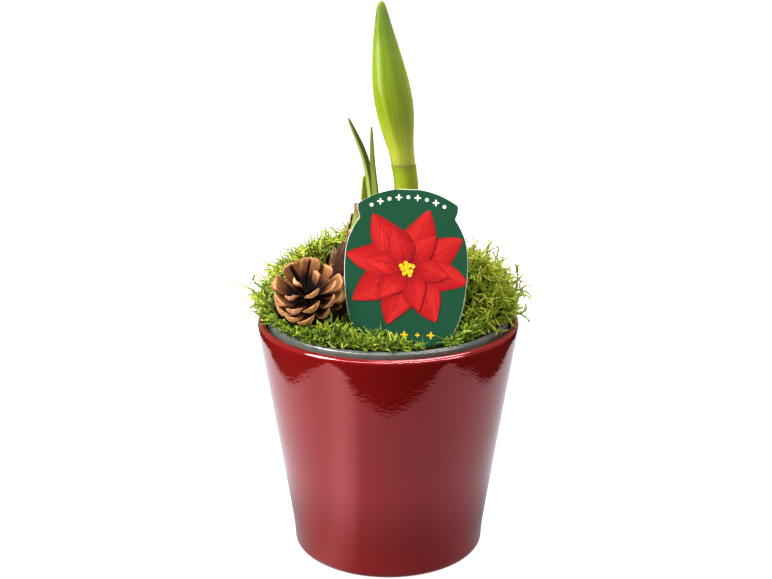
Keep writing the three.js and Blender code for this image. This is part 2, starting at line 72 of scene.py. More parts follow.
BULB_PROFILE = [
    (98, 9), (101, 15), (108, 24.5), (118, 31), (130, 34.5), (140, 34.5), (150, 31.8), (158, 28.4),
    (166, 24.8), (174, 21.5), (182, 20.4), (187.5, 19.6), (189.5, 18.1), (195, 16.9),
]
STALK_X = [(184, 8.4), (198, 9.6), (210, 9.7), (221, 8.3)]
BUD_LEFT = [
    (221, 1.7), (228, 0.2), (234, -1.9), (241, -4.1), (248, -6), (258, -7.9),
    (270, -8.6), (285, -8.2), (296, -7.2), (304, -6.2), (307, -5.2), (308.6, -3.9),
]
BUD_RIGHT = [
    (221, 14.7), (232, 13.7), (248, 13.8), (258, 12.8),
    (270, 10), (285, 5.4), (296, 1.8), (304, -0.7), (307, -1.9), (308.6, -3.0),
]
BUD_DEPTH = [
    (221, 6.1), (232, 7.2), (248, 9.3), (258, 9.6),
    (270, 8.9), (285, 6.7), (296, 4.5), (304, 2.4), (307, 1.4), (308.6, 0.4),
]
LABEL_HEIGHT, LABEL_ARC, LABEL_THICKNESS = 85.2, 46.8, 0.8
LABEL_SHAPE = [
    (0, 19), (4, 22), (7, 24.4), (11, 26.7), (15, 28.4), (20, 29.9), (25, 30.9),
    (35, 32.1), (45, 32.5), (50, 32.3), (55, 31.7), (60, 30.3), (65, 28), (69.4, 25.3),
]
LABEL_STAKE = [(-45, 0.6), (-39, 4), (-14, 5), (-8, 8), (-3, 15), (0, 19)]
CONE_PLACE, CONE_MIDDLE, CONE_LEAN, CONE_TIP = (-42.5, -30.5, 158), 16, 8, 28
CONE_REACH = [(-3, 11), (0, 16.5), (5, 20.5), (18, 21.5), (27, 19), (32, 14)]


# ---------------------------------------------------------------- arithmetic
def along(rows, x):
    """Values at x on a smooth curve through the rows of (x, value)."""
    xs, ys = np.array(rows, float).T
    x = np.clip(np.asarray(x, float), xs[0], xs[-1])
    slopes = np.gradient(ys, xs)
    slopes[1:-1] = (ys[2:] - ys[:-2]) / (xs[2:] - xs[:-2])
    i = np.clip(np.searchsorted(xs, x, side="right") - 1, 0, len(xs) - 2)
    h = xs[i + 1] - xs[i]
    t = (x - xs[i]) / h
    return (
        (2 * t**3 - 3 * t**2 + 1) * ys[i]
        + (t**3 - 2 * t**2 + t) * h * slopes[i]
        + (3 * t**2 - 2 * t**3) * ys[i + 1]
        + (t**3 - t**2) * h * slopes[i + 1]
    )


def smooth(x, low, high):
    t = np.clip((np.asarray(x, float) - low) / (high - low), 0, 1)
    return t * t * (3 - 2 * t)


def mix(a, b, t):
    return a + (b - a) * t


def unit(v):
    return v / np.maximum(np.linalg.norm(v, axis=-1, keepdims=True), 1e-9)


def circle(sides):
    return np.arange(sides) / sides * 2 * np.pi


def polar(a, r, z):
    return np.stack([r * np.cos(a), r * np.sin(a), z + 0 * a], -1)


def off_angle(a, middle):
    """How far the angles a are from the middle, between -pi and pi."""
    return (a - middle + np.pi) % (2 * np.pi) - np.pi


def bell(x, width):
    return np.exp(-((x / width) ** 2))


def ripples(seed, count, low, high):
    """A smooth random function of an angle (and of a second value), about -1 to 1."""
    rng = np.random.default_rng(seed)
    turns = rng.integers(low, high, count)
    drift = rng.uniform(-0.12, 0.12, count)
    phases = rng.uniform(0, 2 * np.pi, count)
    size = rng.uniform(0.4, 1, count) / math.sqrt(count)

    def value(a, z=0.0):
        return sum(s * np.sin(n * a + d * z + p) for n, d, p, s in zip(turns, drift, phases, size))

    return value


# ---------------------------------------------------------------- meshes
class Shape:
    """The points, faces, material numbers and per-point values of one mesh."""

    def __init__(self):
        self.points, self.faces, self.slots = [], [], []
        self.marks = {"tone": [], "tip": [], "grain": []}
        self.size = 0

    def add(self, points, faces, slot=0, tone=0.0, tip=0.0, grain=None):
        points = np.asarray(points, float).reshape(-1, 3)
        n = len(points)
        self.points.append(points)
        for group in faces:
            group = np.asarray(group, int)
            self.faces.append(group + self.size)
            self.slots.append(np.broadcast_to(slot, len(group)).astype(int))
        self.marks["tone"].append(np.broadcast_to(tone, n).astype(float))
        self.marks["tip"].append(np.broadcast_to(tip, n).astype(float))
        grain = points if grain is None else np.asarray(grain, float).reshape(-1, 3)
        self.marks["grain"].append(grain)
        self.size += n


def in_scene(name, data):
    thing = bpy.data.objects.new(name, data)
    bpy.context.collection.objects.link(thing)
    return thing


def piece(name, shape, materials, replaces, sharp=35):
    """Makes the Blender object of a shape. It rides with the pot, as everything here does."""
    mesh = bpy.data.meshes.new(name)
    points = np.concatenate(shape.points)
    corners = np.concatenate([group.ravel() for group in shape.faces])
    sizes = np.concatenate([np.full(len(group), group.shape[1]) for group in shape.faces])
    mesh.vertices.add(len(points))
    mesh.vertices.foreach_set("co", (points / 1000).ravel())
    mesh.loops.add(len(corners))
    mesh.loops.foreach_set("vertex_index", corners)
    mesh.polygons.add(len(sizes))
    mesh.polygons.foreach_set("loop_start", np.concatenate([[0], np.cumsum(sizes)[:-1]]))
    for key, kind, field in (("tone", "FLOAT", "value"), ("tip", "FLOAT", "value"),
                             ("grain", "FLOAT_VECTOR", "vector")):
        values = np.concatenate(shape.marks[key])
        mesh.attributes.new(key, kind, "POINT").data.foreach_set(field, values.ravel())
    for material in materials:
        mesh.materials.append(material)
    mesh.polygons.foreach_set("material_index", np.concatenate(shape.slots))
    mesh.polygons.foreach_set("use_smooth", np.ones(len(sizes), bool))
    mesh.update(calc_edges=True)
    mesh.validate()
    mesh.set_sharp_from_angle(angle=math.radians(sharp))
    thing = in_scene(name, mesh)
    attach(thing, "root")
    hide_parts(*replaces)
    return thing


def skin_faces(k, n, ends_meet=False):
    """The four-sided faces between k rings of n points."""
    j = np.arange(n)
    low = (np.arange(k if ends_meet else k - 1) * n)[:, None]
    high = (low + n) % (k * n)
    return np.stack([low + j, low + (j + 1) % n, high + (j + 1) % n, high + j], -1).reshape(-1, 4)


def tube(rings, start_cap=True, end_cap=True, ends_meet=False):
    """A skin over rings of points (k, n, 3), with a fan over each end that has a cap."""
    k, n, _ = rings.shape
    points = rings.reshape(-1, 3)
    j = np.arange(n)
    faces = [skin_faces(k, n, ends_meet)]
    if start_cap:
        faces.append(np.stack([np.full(n, len(points)), (j + 1) % n, j], -1))
        points = np.vstack([points, rings[0].mean(0)])
    if end_cap:
        last = (k - 1) * n
        faces.append(np.stack([np.full(n, len(points)), last + j, last + (j + 1) % n], -1))
        points = np.vstack([points, rings[-1].mean(0)])
    return points, faces


def with_caps(rows, *caps):
    """The values of a tube's rings, and after them those of the middle points of its caps."""
    return np.concatenate([np.concatenate(rows), caps])


def plate(front, back):
    """A closed thin sheet between two grids of points (k, n, 3). The front grid faces outwards."""
    k, n, _ = front.shape
    cell = np.arange(k * n).reshape(k, n)
    a, b, c, d = (g.ravel() for g in (cell[:-1, :-1], cell[:-1, 1:], cell[1:, 1:], cell[1:, :-1]))
    faces = [np.stack([a, b, c, d], -1), np.stack([d, c, b, a], -1) + k * n]
    edge = np.concatenate([cell[0, :-1], cell[:-1, -1], cell[-1, :0:-1], cell[:0:-1, 0]])
    after = np.roll(edge, -1)
    faces.append(np.stack([edge, edge + k * n, after + k * n, after], -1))
    return np.concatenate([front.reshape(-1, 3), back.reshape(-1, 3)]), faces


def turned(profile, sides):
    """A body turned about Z from a profile of (radius, z) that starts and ends on the axis."""
    a = circle(sides)
    return tube(np.array([polar(a, max(r, 0.01), z) for r, z in profile]), False, False)


def arc(r, z, radius, start, end, steps):
    a = np.radians(np.linspace(start, end, steps + 1))
    return [(r + radius * math.cos(t), z + radius * math.sin(t)) for t in a]


STEM_SIDES = 3


def strands(curves, radii):
    """Thin tapering stems along many curves at once: curves (m, k, 3), radii (m, k)."""
    m, k, _ = curves.shape
    tangent = unit(np.gradient(curves, axis=1))
    ref = unit(np.random.default_rng(int(m + k)).normal(size=(m, 1, 3)))
    across = unit(np.cross(tangent, ref))
    side = np.cross(tangent, across)
    turn = circle(STEM_SIDES)
    ring = across[:, :, None] * np.cos(turn)[:, None] + side[:, :, None] * np.sin(turn)[:, None]
    points = curves[:, :, None] + ring * radii[:, :, None, None]
    first = (np.arange(m) * k * STEM_SIDES)[:, None, None]
    j = np.arange(STEM_SIDES)
    caps = np.stack([j[::-1], (k - 1) * STEM_SIDES + j])
    faces = [(first + skin_faces(k, STEM_SIDES)).reshape(-1, 4), (first + caps).reshape(-1, STEM_SIDES)]
    return points.reshape(-1, 3), faces


# ---------------------------------------------------------------- materials
def srgb(r, g, b):
    c = np.array([r, g, b]) / 255
    return (*np.where(c <= 0.04045, c / 12.92, ((c + 0.055) / 1.055) ** 2.4), 1.0)


def plug(tree, socket, value):
    if isinstance(value, bpy.types.NodeSocket):
        tree.links.new(value, socket)
    else:
        socket.default_value = value


def add_node(tree, kind, inputs=(), **settings):
    """A new shader node, with its settings made and its inputs linked or set."""
    node = tree.nodes.new("ShaderNode" + kind)
    for key, value in settings.items():
        setattr(node, key, value)
    for key, value in dict(inputs).items():
        plug(tree, node.inputs[key], value)
    return node


class Material:
    """A node material with one Principled shader and short names for the nodes used here."""

    def __init__(self, name, **constants):
        self.material = bpy.data.materials.new(name)
        self.material.use_nodes = True
        self.tree = self.material.node_tree
        self.shader = self.tree.nodes["Principled BSDF"]
        for key, value in constants.items():
            self.shader.inputs[key.replace("_", " ")].default_value = value

    def node(self, kind, out, inputs=(), **settings):
        return add_node(self.tree, kind, inputs, **settings).outputs[out]

    def place(self):
        return self.node("TexCoord", "Object")

    def mark(self, name, out="Fac"):
        return self.node("Attribute", out, attribute_name=name)

    def scaled(self, vector, scale):
        return self.node("Mapping", "Vector", {"Vector": vector, "Scale": scale})

    def noise(self, vector, scale, detail=3.0, rough=0.5, warp=0.0):
        values = {"Scale": scale, "Detail": detail, "Roughness": rough, "Distortion": warp}
        return self.node("TexNoise", "Fac", {"Vector": vector, **values})

    def fibres(self, stretch, *how):
        """Noise along the grain of a piece, drawn out where the scale in stretch is small."""
        return self.noise(self.scaled(self.mark("grain", "Vector"), stretch), *how)

    def cells(self, vector, scale):
        return self.node("TexVoronoi", "Distance", {"Vector": vector, "Scale": scale})

    def sums(self, operation, a, b):
        return self.node("Math", 0, {0: a, 1: b}, operation=operation)

    def spread(self, value, low, high, to_low=0.0, to_high=1.0):
        limits = {"From Min": low, "From Max": high, "To Min": to_low, "To Max": to_high}
        return self.node("MapRange", "Result", {"Value": value, **limits})

    def ramp(self, value, *stops):
        node = add_node(self.tree, "ValToRGB", {"Fac": value})
        elements = node.color_ramp.elements
        while len(elements) < len(stops):
            elements.new(0.5)
        for element, (at, _) in zip(elements, stops):
            element.position = at
        for element, (_, colour) in zip(elements, stops):
            element.color = srgb(*colour)
        return node.outputs["Color"]

    def blend(self, factor, a, b, way="MIX"):
        a, b = (srgb(*value) if isinstance(value, tuple) else value for value in (a, b))
        return self.node("Mix", 2, {"Factor": factor, 6: a, 7: b}, data_type="RGBA", blend_type=way)

    def tint(self, colour, value, low, high, most, paint, way="MIX"):
        """Paint over the colour, by up to most as the value goes from low to high."""
        return self.blend(self.spread(value, low, high, 0.0, most), colour, paint, way)

    def bump(self, height, distance, **after):
        size = {"Height": height, "Distance": distance / 1000, "Strength": 1.0}
        return self.node("Bump", "Normal", {**size, **after})

    def finish(self, colour, roughness, **normals):
        for key, value in {"Base Color": colour, "Roughness": roughness, **normals}.items():
            plug(self.tree, self.shader.inputs[key.replace("_", " ")], value)
        return self.material


def glaze_material():
    m = Material("glaze", IOR=1.7, Specular_IOR_Level=0.9, Specular_Tint=(1.0, 0.03, 0.06, 1),
                 Coat_Weight=1.0, Coat_Roughness=0.015, Coat_IOR=1.5)
    where = m.place()
    colour = m.ramp(m.noise(where, 28, 4, 0.6), (0.3, (116, 15, 14)), (0.7, (126, 17, 16)))
    speck = m.spread(m.cells(where, 260), 0.0, 0.08, 1.0, 0.0)
    colour = m.blend(m.sums("MULTIPLY", speck, 0.25), colour, (80, 8, 10))
    roughness = m.spread(m.noise(where, 60, 3), 0.3, 0.7, 0.04, 0.08)
    peel = m.bump(m.noise(m.scaled(where, (1, 1, 2.2)), 300, 2, 0.5), 0.04)
    wave = m.bump(m.noise(where, 40, 2, 0.5), 0.05, Normal=peel)
    return m.finish(colour, roughness, Normal=wave, Coat_Normal=wave)


def grey_plastic_material():
    m = Material("grey_plastic", IOR=1.5, Specular_IOR_Level=0.5)
    where = m.place()
    colour = m.ramp(m.noise(where, 60, 3), (0.3, (78, 82, 76)), (0.7, (92, 96, 90)))
    dust = m.noise(where, 190, 5, 0.7)
    colour = m.tint(colour, dust, 0.62, 0.75, 0.35, (96, 88, 70))
    scuff = m.spread(m.noise(m.scaled(where, (1, 1, 9)), 160, 4, 0.6), 0.3, 0.7, 0.2, 0.3)
    return m.finish(colour, scuff, Normal=m.bump(m.noise(where, 900, 2, 0.6), 0.03))


def soil_material():
    m = Material("soil", Specular_IOR_Level=0.2)
    where = m.place()
    crumbs = m.cells(where, 420)
    colour = m.ramp(crumbs, (0.1, (66, 47, 33)), (0.6, (34, 22, 14)), (1.0, (16, 10, 7)))
    colour = m.tint(colour, m.noise(where, 700, 3), 0.66, 0.7, 1.0, (120, 92, 60))
    height = m.sums("ADD", m.noise(where, 300, 6, 0.7), m.sums("MULTIPLY", crumbs, -1.0))
    return m.finish(colour, 0.95, Normal=m.bump(height, 1.2))


def bulb_skin_material():
    m = Material("bulb_skin", Specular_IOR_Level=0.22)
    fine = m.fibres((1, 1, 0.05), 1.9, 6, 0.65)
    broad = m.fibres((1, 1, 0.16), 0.28, 4, 0.6, 0.4)
    patch = m.noise(m.mark("grain", "Vector"), 0.5, 5, 0.7)
    colour = m.ramp(fine, (0.3, (58, 33, 18)), (0.46, (110, 72, 42)), (0.58, (156, 112, 70)),
                    (0.74, (196, 158, 112)))
    colour = m.tint(colour, broad, 0.45, 0.7, 0.75, (66, 40, 24))
    colour = m.tint(colour, patch, 0.6, 0.68, 0.6, (206, 176, 132))
    colour = m.blend(m.mark("tip"), colour, (214, 186, 142))
    # Painted shade: where the tone is 1, the flake in the shade of the moss and leaves is darkened.
    colour = m.blend(m.sums("MULTIPLY", m.mark("tone"), 0.9), colour, (116, 66, 42), "MULTIPLY")
    height = m.sums("ADD", fine, m.sums("MULTIPLY", broad, 0.8))
    return m.finish(colour, m.spread(broad, 0.3, 0.7, 0.42, 0.7), Normal=m.bump(height, 0.5))


def bulb_flesh_material():
    m = Material("bulb_flesh", Specular_IOR_Level=0.5, Subsurface_Weight=0.15, Subsurface_Scale=0.002)
    veins = m.fibres((1, 1, 0.03), 1.6, 3, 0.5)
    colour = m.ramp(veins, (0.3, (104, 122, 48)), (0.6, (130, 146, 66)), (0.8, (154, 162, 92)))
    colour = m.blend(m.mark("tip"), colour, (132, 92, 56))
    return m.finish(colour, 0.42, Normal=m.bump(veins, 0.15))


def stalk_material():
    m = Material("stalk_green", Specular_IOR_Level=0.25, Subsurface_Weight=0.4, Subsurface_Scale=0.008,
                 Subsurface_Radius=(1.0, 1.0, 0.3))
    fibres = m.fibres((1, 1, 0.02), 2.4, 4, 0.6)
    broad = m.fibres((1, 1, 0.1), 0.35, 2)
    colour = m.ramp(fibres, (0.3, (122, 139, 12)), (0.5, (140, 155, 16)), (0.72, (156, 168, 34)))
    colour = m.tint(colour, broad, 0.4, 0.7, 0.35, (164, 173, 60))
    colour = m.blend(m.mark("tip"), colour, (134, 142, 44))
    return m.finish(colour, m.spread(fibres, 0.3, 0.7, 0.34, 0.48), Normal=m.bump(fibres, 0.08))


def bud_material():
    """A bud whose tip mark is the height on it, and whose tone is flush (above 0) or painted sheen (below), a
    painted highlight.
    """
    m = Material("bud_green", Specular_IOR_Level=0.22, Subsurface_Weight=0.8, Subsurface_Scale=0.014,
                 Subsurface_Radius=(1.0, 1.0, 0.5))
    fibres = m.fibres((1, 1, 0.018), 2.6, 4, 0.6)
    broad = m.fibres((1, 1, 0.07), 0.3, 3, 0.6)
    colour = m.ramp(m.mark("tip"), (0.0, (178, 180, 68)), (0.14, (172, 177, 52)), (0.34, (130, 149, 20)),
                    (0.7, (116, 139, 20)), (0.92, (86, 108, 30)), (1.0, (58, 82, 24)))
    colour = m.tint(colour, fibres, 0.35, 0.7, 0.4, (146, 162, 48))
    colour = m.tint(colour, broad, 0.45, 0.75, 0.3, (84, 116, 30))
    colour = m.blend(m.mark("tone"), colour, (150, 152, 84))
    # Painted highlight: where the tone is below 0, a pale whitish-green sheen, broken up by the fibres.
    painted_sheen = m.spread(m.mark("tone"), 0.0, -1.0)
    painted_sheen = m.sums("MULTIPLY", painted_sheen, m.spread(fibres, 0.3, 0.55, 0.45, 1.0))
    colour = m.blend(painted_sheen, colour, (176, 186, 128))
    return m.finish(colour, m.spread(fibres, 0.3, 0.7, 0.34, 0.46), Normal=m.bump(fibres, 0.1))


def leaf_material(name, vein, edge, *stops):
    """A leaf that goes through the stops from its foot to its tip."""
    m = Material(name, Specular_IOR_Level=0.5, Subsurface_Weight=0.08, Subsurface_Scale=0.001)
    veins = m.fibres((1, 1, 0.012), 3.2, 3, 0.55)
    colour = m.tint(m.ramp(m.mark("tip"), *stops), veins, 0.35, 0.7, 0.35, vein)
    colour = m.blend(m.mark("tone"), colour, edge)
    return m.finish(colour, m.spread(veins, 0.3, 0.7, 0.34, 0.46), Normal=m.bump(veins, 0.1))


def moss_material():
    """Moss from the foot of a shoot (tip 0) to its end (tip 1), in three kinds of green by its tone. The
    near-black foot is the shoots' own darker base and painted shade deep in the cushion.
    """
    m = Material("moss_green", Specular_IOR_Level=0.35)
    where, tip, tone = m.place(), m.mark("tip"), m.mark("tone")
    green = m.ramp(tip, (0.0, (48, 58, 12)), (0.3, (96, 122, 18)), (0.65, (140, 166, 30)),
                   (1.0, (190, 206, 66)))
    yellow = m.ramp(tip, (0.0, (84, 74, 24)), (0.3, (142, 142, 32)), (0.65, (190, 194, 52)),
                    (1.0, (224, 224, 104)))
    dark = m.ramp(tip, (0.0, (22, 24, 10)), (0.4, (50, 72, 16)), (0.8, (84, 112, 28)),
                  (1.0, (114, 138, 44)))
    colour = m.tint(green, tone, 0.5, 0.7, 1.0, yellow)
    colour = m.tint(colour, tone, 0.3, 0.16, 1.0, dark)
    patch = m.spread(m.noise(where, 45, 3), 0.45, 0.65)
    colour = m.blend(m.sums("MULTIPLY", patch, 0.3), colour, (92, 122, 26))
    return m.finish(colour, 0.55, Normal=m.bump(m.noise(where, 2600, 2, 0.6), 0.1))


def moss_bed_material():
    m = Material("moss_bed", Specular_IOR_Level=0.1)
    threads = m.noise(m.scaled(m.place(), (1, 1, 0.5)), 620, 5, 0.7, 1.5)
    # Dark olive to near black: the cushion under the fronds, its near-black end painted shade between them.
    colour = m.ramp(threads, (0.35, (12, 9, 5)), (0.55, (34, 32, 12)), (0.68, (62, 70, 22)),
                    (0.8, (96, 88, 40)))
    return m.finish(colour, 0.95, Normal=m.bump(threads, 1.5))


def cone_material():
    """Cone wood by its paleness (tip), near black at 0 for painted shade deep between the scales, with drops
    of resin (tone).
    """
    m = Material("cone_wood", Specular_IOR_Level=0.06)
    fibres = m.fibres((1, 0.07, 1), 2.6, 4, 0.65)
    blotch = m.noise(m.place(), 320, 4, 0.6)
    colour = m.ramp(m.mark("tip"), (0.0, (10, 5, 4)), (0.2, (22, 11, 7)), (0.36, (54, 28, 17)),
                    (0.54, (108, 66, 40)), (0.72, (148, 98, 61)), (0.86, (174, 122, 78)),
                    (0.93, (222, 162, 106)), (1.0, (238, 182, 124)))
    groove = m.spread(fibres, 0.35, 0.62, 0.8, 0.0)
    colour = m.blend(groove, colour, (176, 140, 116), "MULTIPLY")
    colour = m.tint(colour, blotch, 0.5, 0.72, 0.6, (176, 142, 120), "MULTIPLY")
    colour = m.blend(m.mark("tone"), colour, (206, 196, 206))
    return m.finish(colour, m.spread(fibres, 0.3, 0.7, 0.55, 0.75), Normal=m.bump(fibres, 0.35))


def print_material(name, colour):
    m = Material(name, Specular_IOR_Level=0.25)
    fine = m.noise(m.place(), 1500, 2)
    shade = m.tint(colour, fine, 0.3, 0.7, 0.16, tuple(int(c * 0.82) for c in colour))
    return m.finish(shade, m.spread(fine, 0.3, 0.7, 0.3, 0.4), Normal=m.bump(fine, 0.01))


def bract_material():
    m = Material("label_red", Specular_IOR_Level=0.25)
    veins = m.fibres((1, 0.12, 1), 0.9, 3, 0.55)
    fine = m.noise(m.place(), 1500, 2)
    colour = m.ramp(m.mark("tone"), (0.0, (92, 10, 14)), (0.4, (158, 16, 22)), (0.75, (190, 24, 27)),
                    (1.0, (206, 40, 36)))
    colour = m.blend(m.spread(veins, 0.4, 0.68, 0.5, 0.0), colour, (128, 10, 15))
    return m.finish(colour, m.spread(fine, 0.3, 0.7, 0.3, 0.4), Normal=m.bump(fine, 0.01))


# ---------------------------------------------------------------- pots
def pot_radius(z):
    return POT_FOOT + (POT_RIM - 0.2 - POT_FOOT) / (POT_HEIGHT - POT_WALL) * z


def build_cachepot():
    lip, foot_round, swell_height = POT_WALL / 2, 4, 6
    inner = lambda z: pot_radius(z) - POT_WALL
    outer = lambda z: pot_radius(z) + POT_SWELL * math.exp(-z / swell_height)
    profile = [
        (0, 0.9), (46.5, 0.9), (47.2, 0.2), (48, 0),
        *arc(outer(foot_round) - foot_round, foot_round, foot_round, -90, -8, 10),
        *[(outer(z), z) for z in (6, 8, 10, 13, 16, 20, 25, 32, 42, 56, 72, 90, 106, 118)],
        *[(pot_radius(z), z) for z in (122, 126, 128)],
        (POT_RIM - 0.4, 129.3), (POT_RIM - 0.24, 130.5), (POT_RIM - 0.11, 131.6),
        *arc(POT_RIM - lip, POT_HEIGHT - lip, lip, 0, 180, 18),
        *[(inner(z), z) for z in (128, 100, 60, POT_FLOOR + 5)],
        (inner(POT_FLOOR) - 1, POT_FLOOR + 1.4), (inner(POT_FLOOR) - 3, POT_FLOOR), (0, POT_FLOOR),
    ]
    shape = Shape()
    shape.add(*turned(profile, 192))
    return piece("cachepot_glazed", shape, [glaze_material()], ["cachepot"])


NURSERY_BASE, NURSERY_SHOULDER, NURSERY_FOOT = POT_FLOOR + GAP, LIP_TOP - LIP_DEPTH, 46
DRAIN_HOLES, DRAIN_RADIUS, DRAIN_PLACE = 6, 4, 30


def build_nursery_pot():
    base, shoulder, foot = NURSERY_BASE, NURSERY_SHOULDER, NURSERY_FOOT
    wall = lambda z: mix(foot, LIP_INNER + 1, (z - base) / (shoulder - base))
    half = (LIP_OUTER - LIP_INNER) / 2
    profile = [
        (0, base), (44.5, base), (45.6, base + 0.4), (foot, base + 1.5),
        *[(wall(z), z) for z in np.linspace(base + 12, shoulder - 0.6, 8)],
        (LIP_OUTER - 0.7, shoulder - 0.1), (LIP_OUTER - 0.35, shoulder + 0.4),
        *arc(LIP_OUTER - half, LIP_TOP - half, half, 0, 180, 16),
        (LIP_INNER, shoulder + 1.2), (wall(shoulder - 1) - NURSERY_WALL, shoulder - 1),
        *[(wall(z) - NURSERY_WALL, z) for z in np.linspace(shoulder - 12, base + 8, 6)],
        (foot - NURSERY_WALL, base + 2.2), (45.6 - NURSERY_WALL, base + NURSERY_WALL),
        (0, base + NURSERY_WALL),
    ]
    shape = Shape()
    shape.add(*turned(profile, 160))
    pot = piece("nursery_pot_grey", shape, [grey_plastic_material()], ["nursery_pot"])
    drill_drain_holes(pot)
    return pot


def drill_drain_holes(pot):
    drills = Shape()
    for i in range(DRAIN_HOLES):
        turn = math.radians((i + 0.5) * 360 / DRAIN_HOLES)
        place = [DRAIN_PLACE * math.cos(turn), DRAIN_PLACE * math.sin(turn), 0]
        rings = [polar(circle(24), DRAIN_RADIUS, NURSERY_BASE + z) + place for z in (-2, 4)]
        drills.add(*tube(np.array(rings)))
    mesh = bpy.data.meshes.new("drills")
    faces = [list(face) for group in drills.faces for face in group]
    mesh.from_pydata(np.concatenate(drills.points) / 1000, [], faces)
    cutter = in_scene("drills", mesh)
    cut = pot.modifiers.new("drain_holes", "BOOLEAN")
    cut.operation = "DIFFERENCE"
    cut.object = cutter
    cut.solver = "EXACT"
    bpy.context.view_layer.objects.active = pot
    with bpy.context.temp_override(object=pot, active_object=pot, selected_objects=[pot]):
        bpy.ops.object.modifier_apply(modifier=cut.name)
    bpy.data.objects.remove(cutter)


# ---------------------------------------------------------------- bulb
BULB_SIDES = 168
BULB_CENTRE = np.array([BULB_X, BULB_Y, 0])
SKIN_FOOT, SKIN_TOP, NECK_START = 98.0, 187.6, 187
rib_wave = ripples(3, 9, 14, 60)
torn_wave = ripples(5, 7, 5, 34)

# Torn tongues of a second skin: bearings of their ends, foot, top and distance outwards.
TONGUES = [
    (140, 196, 183, 192.5, 0.7), (212, 268, 184, 197, 0.4), (20, 95, 184, 195.5, 0.6),
    (300, 340, 184, 192, 0.5),
]
# Loose flakes: bearing, height of the root, length, width, lean away from the bulb, twist, and 1 for one
# darkened with painted shade.
FLAKES = [
    (196, 145, 31, 3.8, -4, 50, 0), (206, 151, 29, 13, -6.5, 26, 1), (120, 160, 15, 12, 3, 0, 0),
    (28, 158, 16, 14, 4, 0, 0), (232, 150, 15, 13, 2, 0, 0),
]
# Scales of the neck: how far in their outer and inner sides are, foot, top, seed and rise on the left.
NECK_SCALES = [
    (-0.3, -2.6, 176, 195.4, 1, 3.2), (-4.2, -6.0, 184, 193.4, 9, 0), (-7.4, -8.8, 186, 191.6, 12, 0),
]


def bulb_radius(a, z):
    return along(BULB_PROFILE, z) + 0.35 * np.sin(9 * a + z * 0.05) + 0.25 * np.sin(14 * a + 1.3)


def torn_edge(a):
    return 1.6 * np.sin(3 * a + 0.7) + 1.1 * np.sin(7 * a + 2)


def add_outer_skin(skin):
    """The brown skin, up to a torn edge, and back down its inner side."""
    a = circle(BULB_SIDES)
    top = SKIN_TOP + 1.6 * torn_wave(a) + 0.8 * torn_edge(a)
    outside = [(t, 0, 0.3, 0, 0.7 * smooth(t, 0.965, 1)) for t in np.linspace(0, 1, 70)]
    inside = [(t, -0.1, 0, -0.7, 0.3) for t in (1.0, 0.97, 0.9)]
    rings, tips = [], []
    for t, drop, ribs, inset, tip in outside + inside:
        z = mix(SKIN_FOOT, top, t) + drop
        lift = smooth(t, 0.9, 1) * (0.5 + 0.5 * torn_wave(a + 2, z))
        r = bulb_radius(a, np.minimum(z, SKIN_TOP - 0.1)) + ribs * rib_wave(a, z) + lift + inset
        rings.append(polar(a, r, z))
        tips.append(tip + 0 * a)
    points, faces = tube(np.array(rings) + BULB_CENTRE, True, False)
    skin.add(points, faces, tip=with_caps(tips, 0), grain=with_caps(rings, ORIGIN))


def add_tongues(skin):
    """A second, paler skin that stands a little higher in torn tongues."""
    t = np.linspace(0, 1, 12)[:, None]
    for start, end, low, high, out in TONGUES:
        bearing = np.radians(np.linspace(start, end, 26))
        edge = np.sin(np.linspace(0, np.pi, 26)) ** 0.45
        z = mix(float(low), mix(low + 2.0, high + 1.3 * torn_wave(bearing * 1.7), edge), t)
        r = along(BULB_PROFILE, z) + out + 0.8 * t * t + 0.25 * rib_wave(bearing, z)
        points, faces = plate(*(polar(bearing, r - thin, z) + BULB_CENTRE for thin in (0, 0.5)))
        tips = 0.25 + 0.75 * smooth(t, 0.75, 1) + 0 * bearing
        skin.add(points, faces, tip=np.tile(tips.ravel(), 2) * 0.8)


def add_flakes(skin):
    """Flakes that stand off the shoulder."""
    u, t = np.linspace(-1, 1, 15), np.linspace(0, 1, 14)[:, None]
    edge = (smooth(np.abs(u), 0.75, 1) * 0.6 + smooth(t, 0.8, 1) * 0.6).ravel()
    for bearing, z0, length, width, lean, twist, dark in FLAKES:
        b, c = math.radians(bearing), math.radians(bearing) + math.radians(twist)
        out, side = np.array([math.cos(b), math.sin(b), 0]), np.array([-math.sin(c), math.cos(c), 0])
        half = width / 2 * (1 - 0.55 * t * t)
        ragged = 1 + 0.14 * np.sin(11 * t + 2 * np.sign(u)) * np.abs(u) ** 3
        curl = -1.4 * u * u * (1 - 0.5 * t) + 0.25 * np.sin(6 * u + 5 * t)
        r = along(BULB_PROFILE, z0) - 1.2 + lean * t * t + curl + 0.8
        rise = length * t + 0.9 * t * np.sin(7 * u + b * 3) - 1.0 * t * u * u
        front = (
            np.array([BULB_X, BULB_Y, z0])
            + (half * u * ragged)[..., None] * side
            + r[..., None] * out
            + rise[..., None] * [0, 0, 1]
        )
        points, faces = plate(front, front - out * 0.55)
        tips = np.clip(np.concatenate([edge, edge * 0.5]), 0, 1)
        skin.add(points, faces, tip=tips, tone=float(dark))


def neck_radius(z):
    return along(BULB_PROFILE, np.maximum(z, NECK_START))


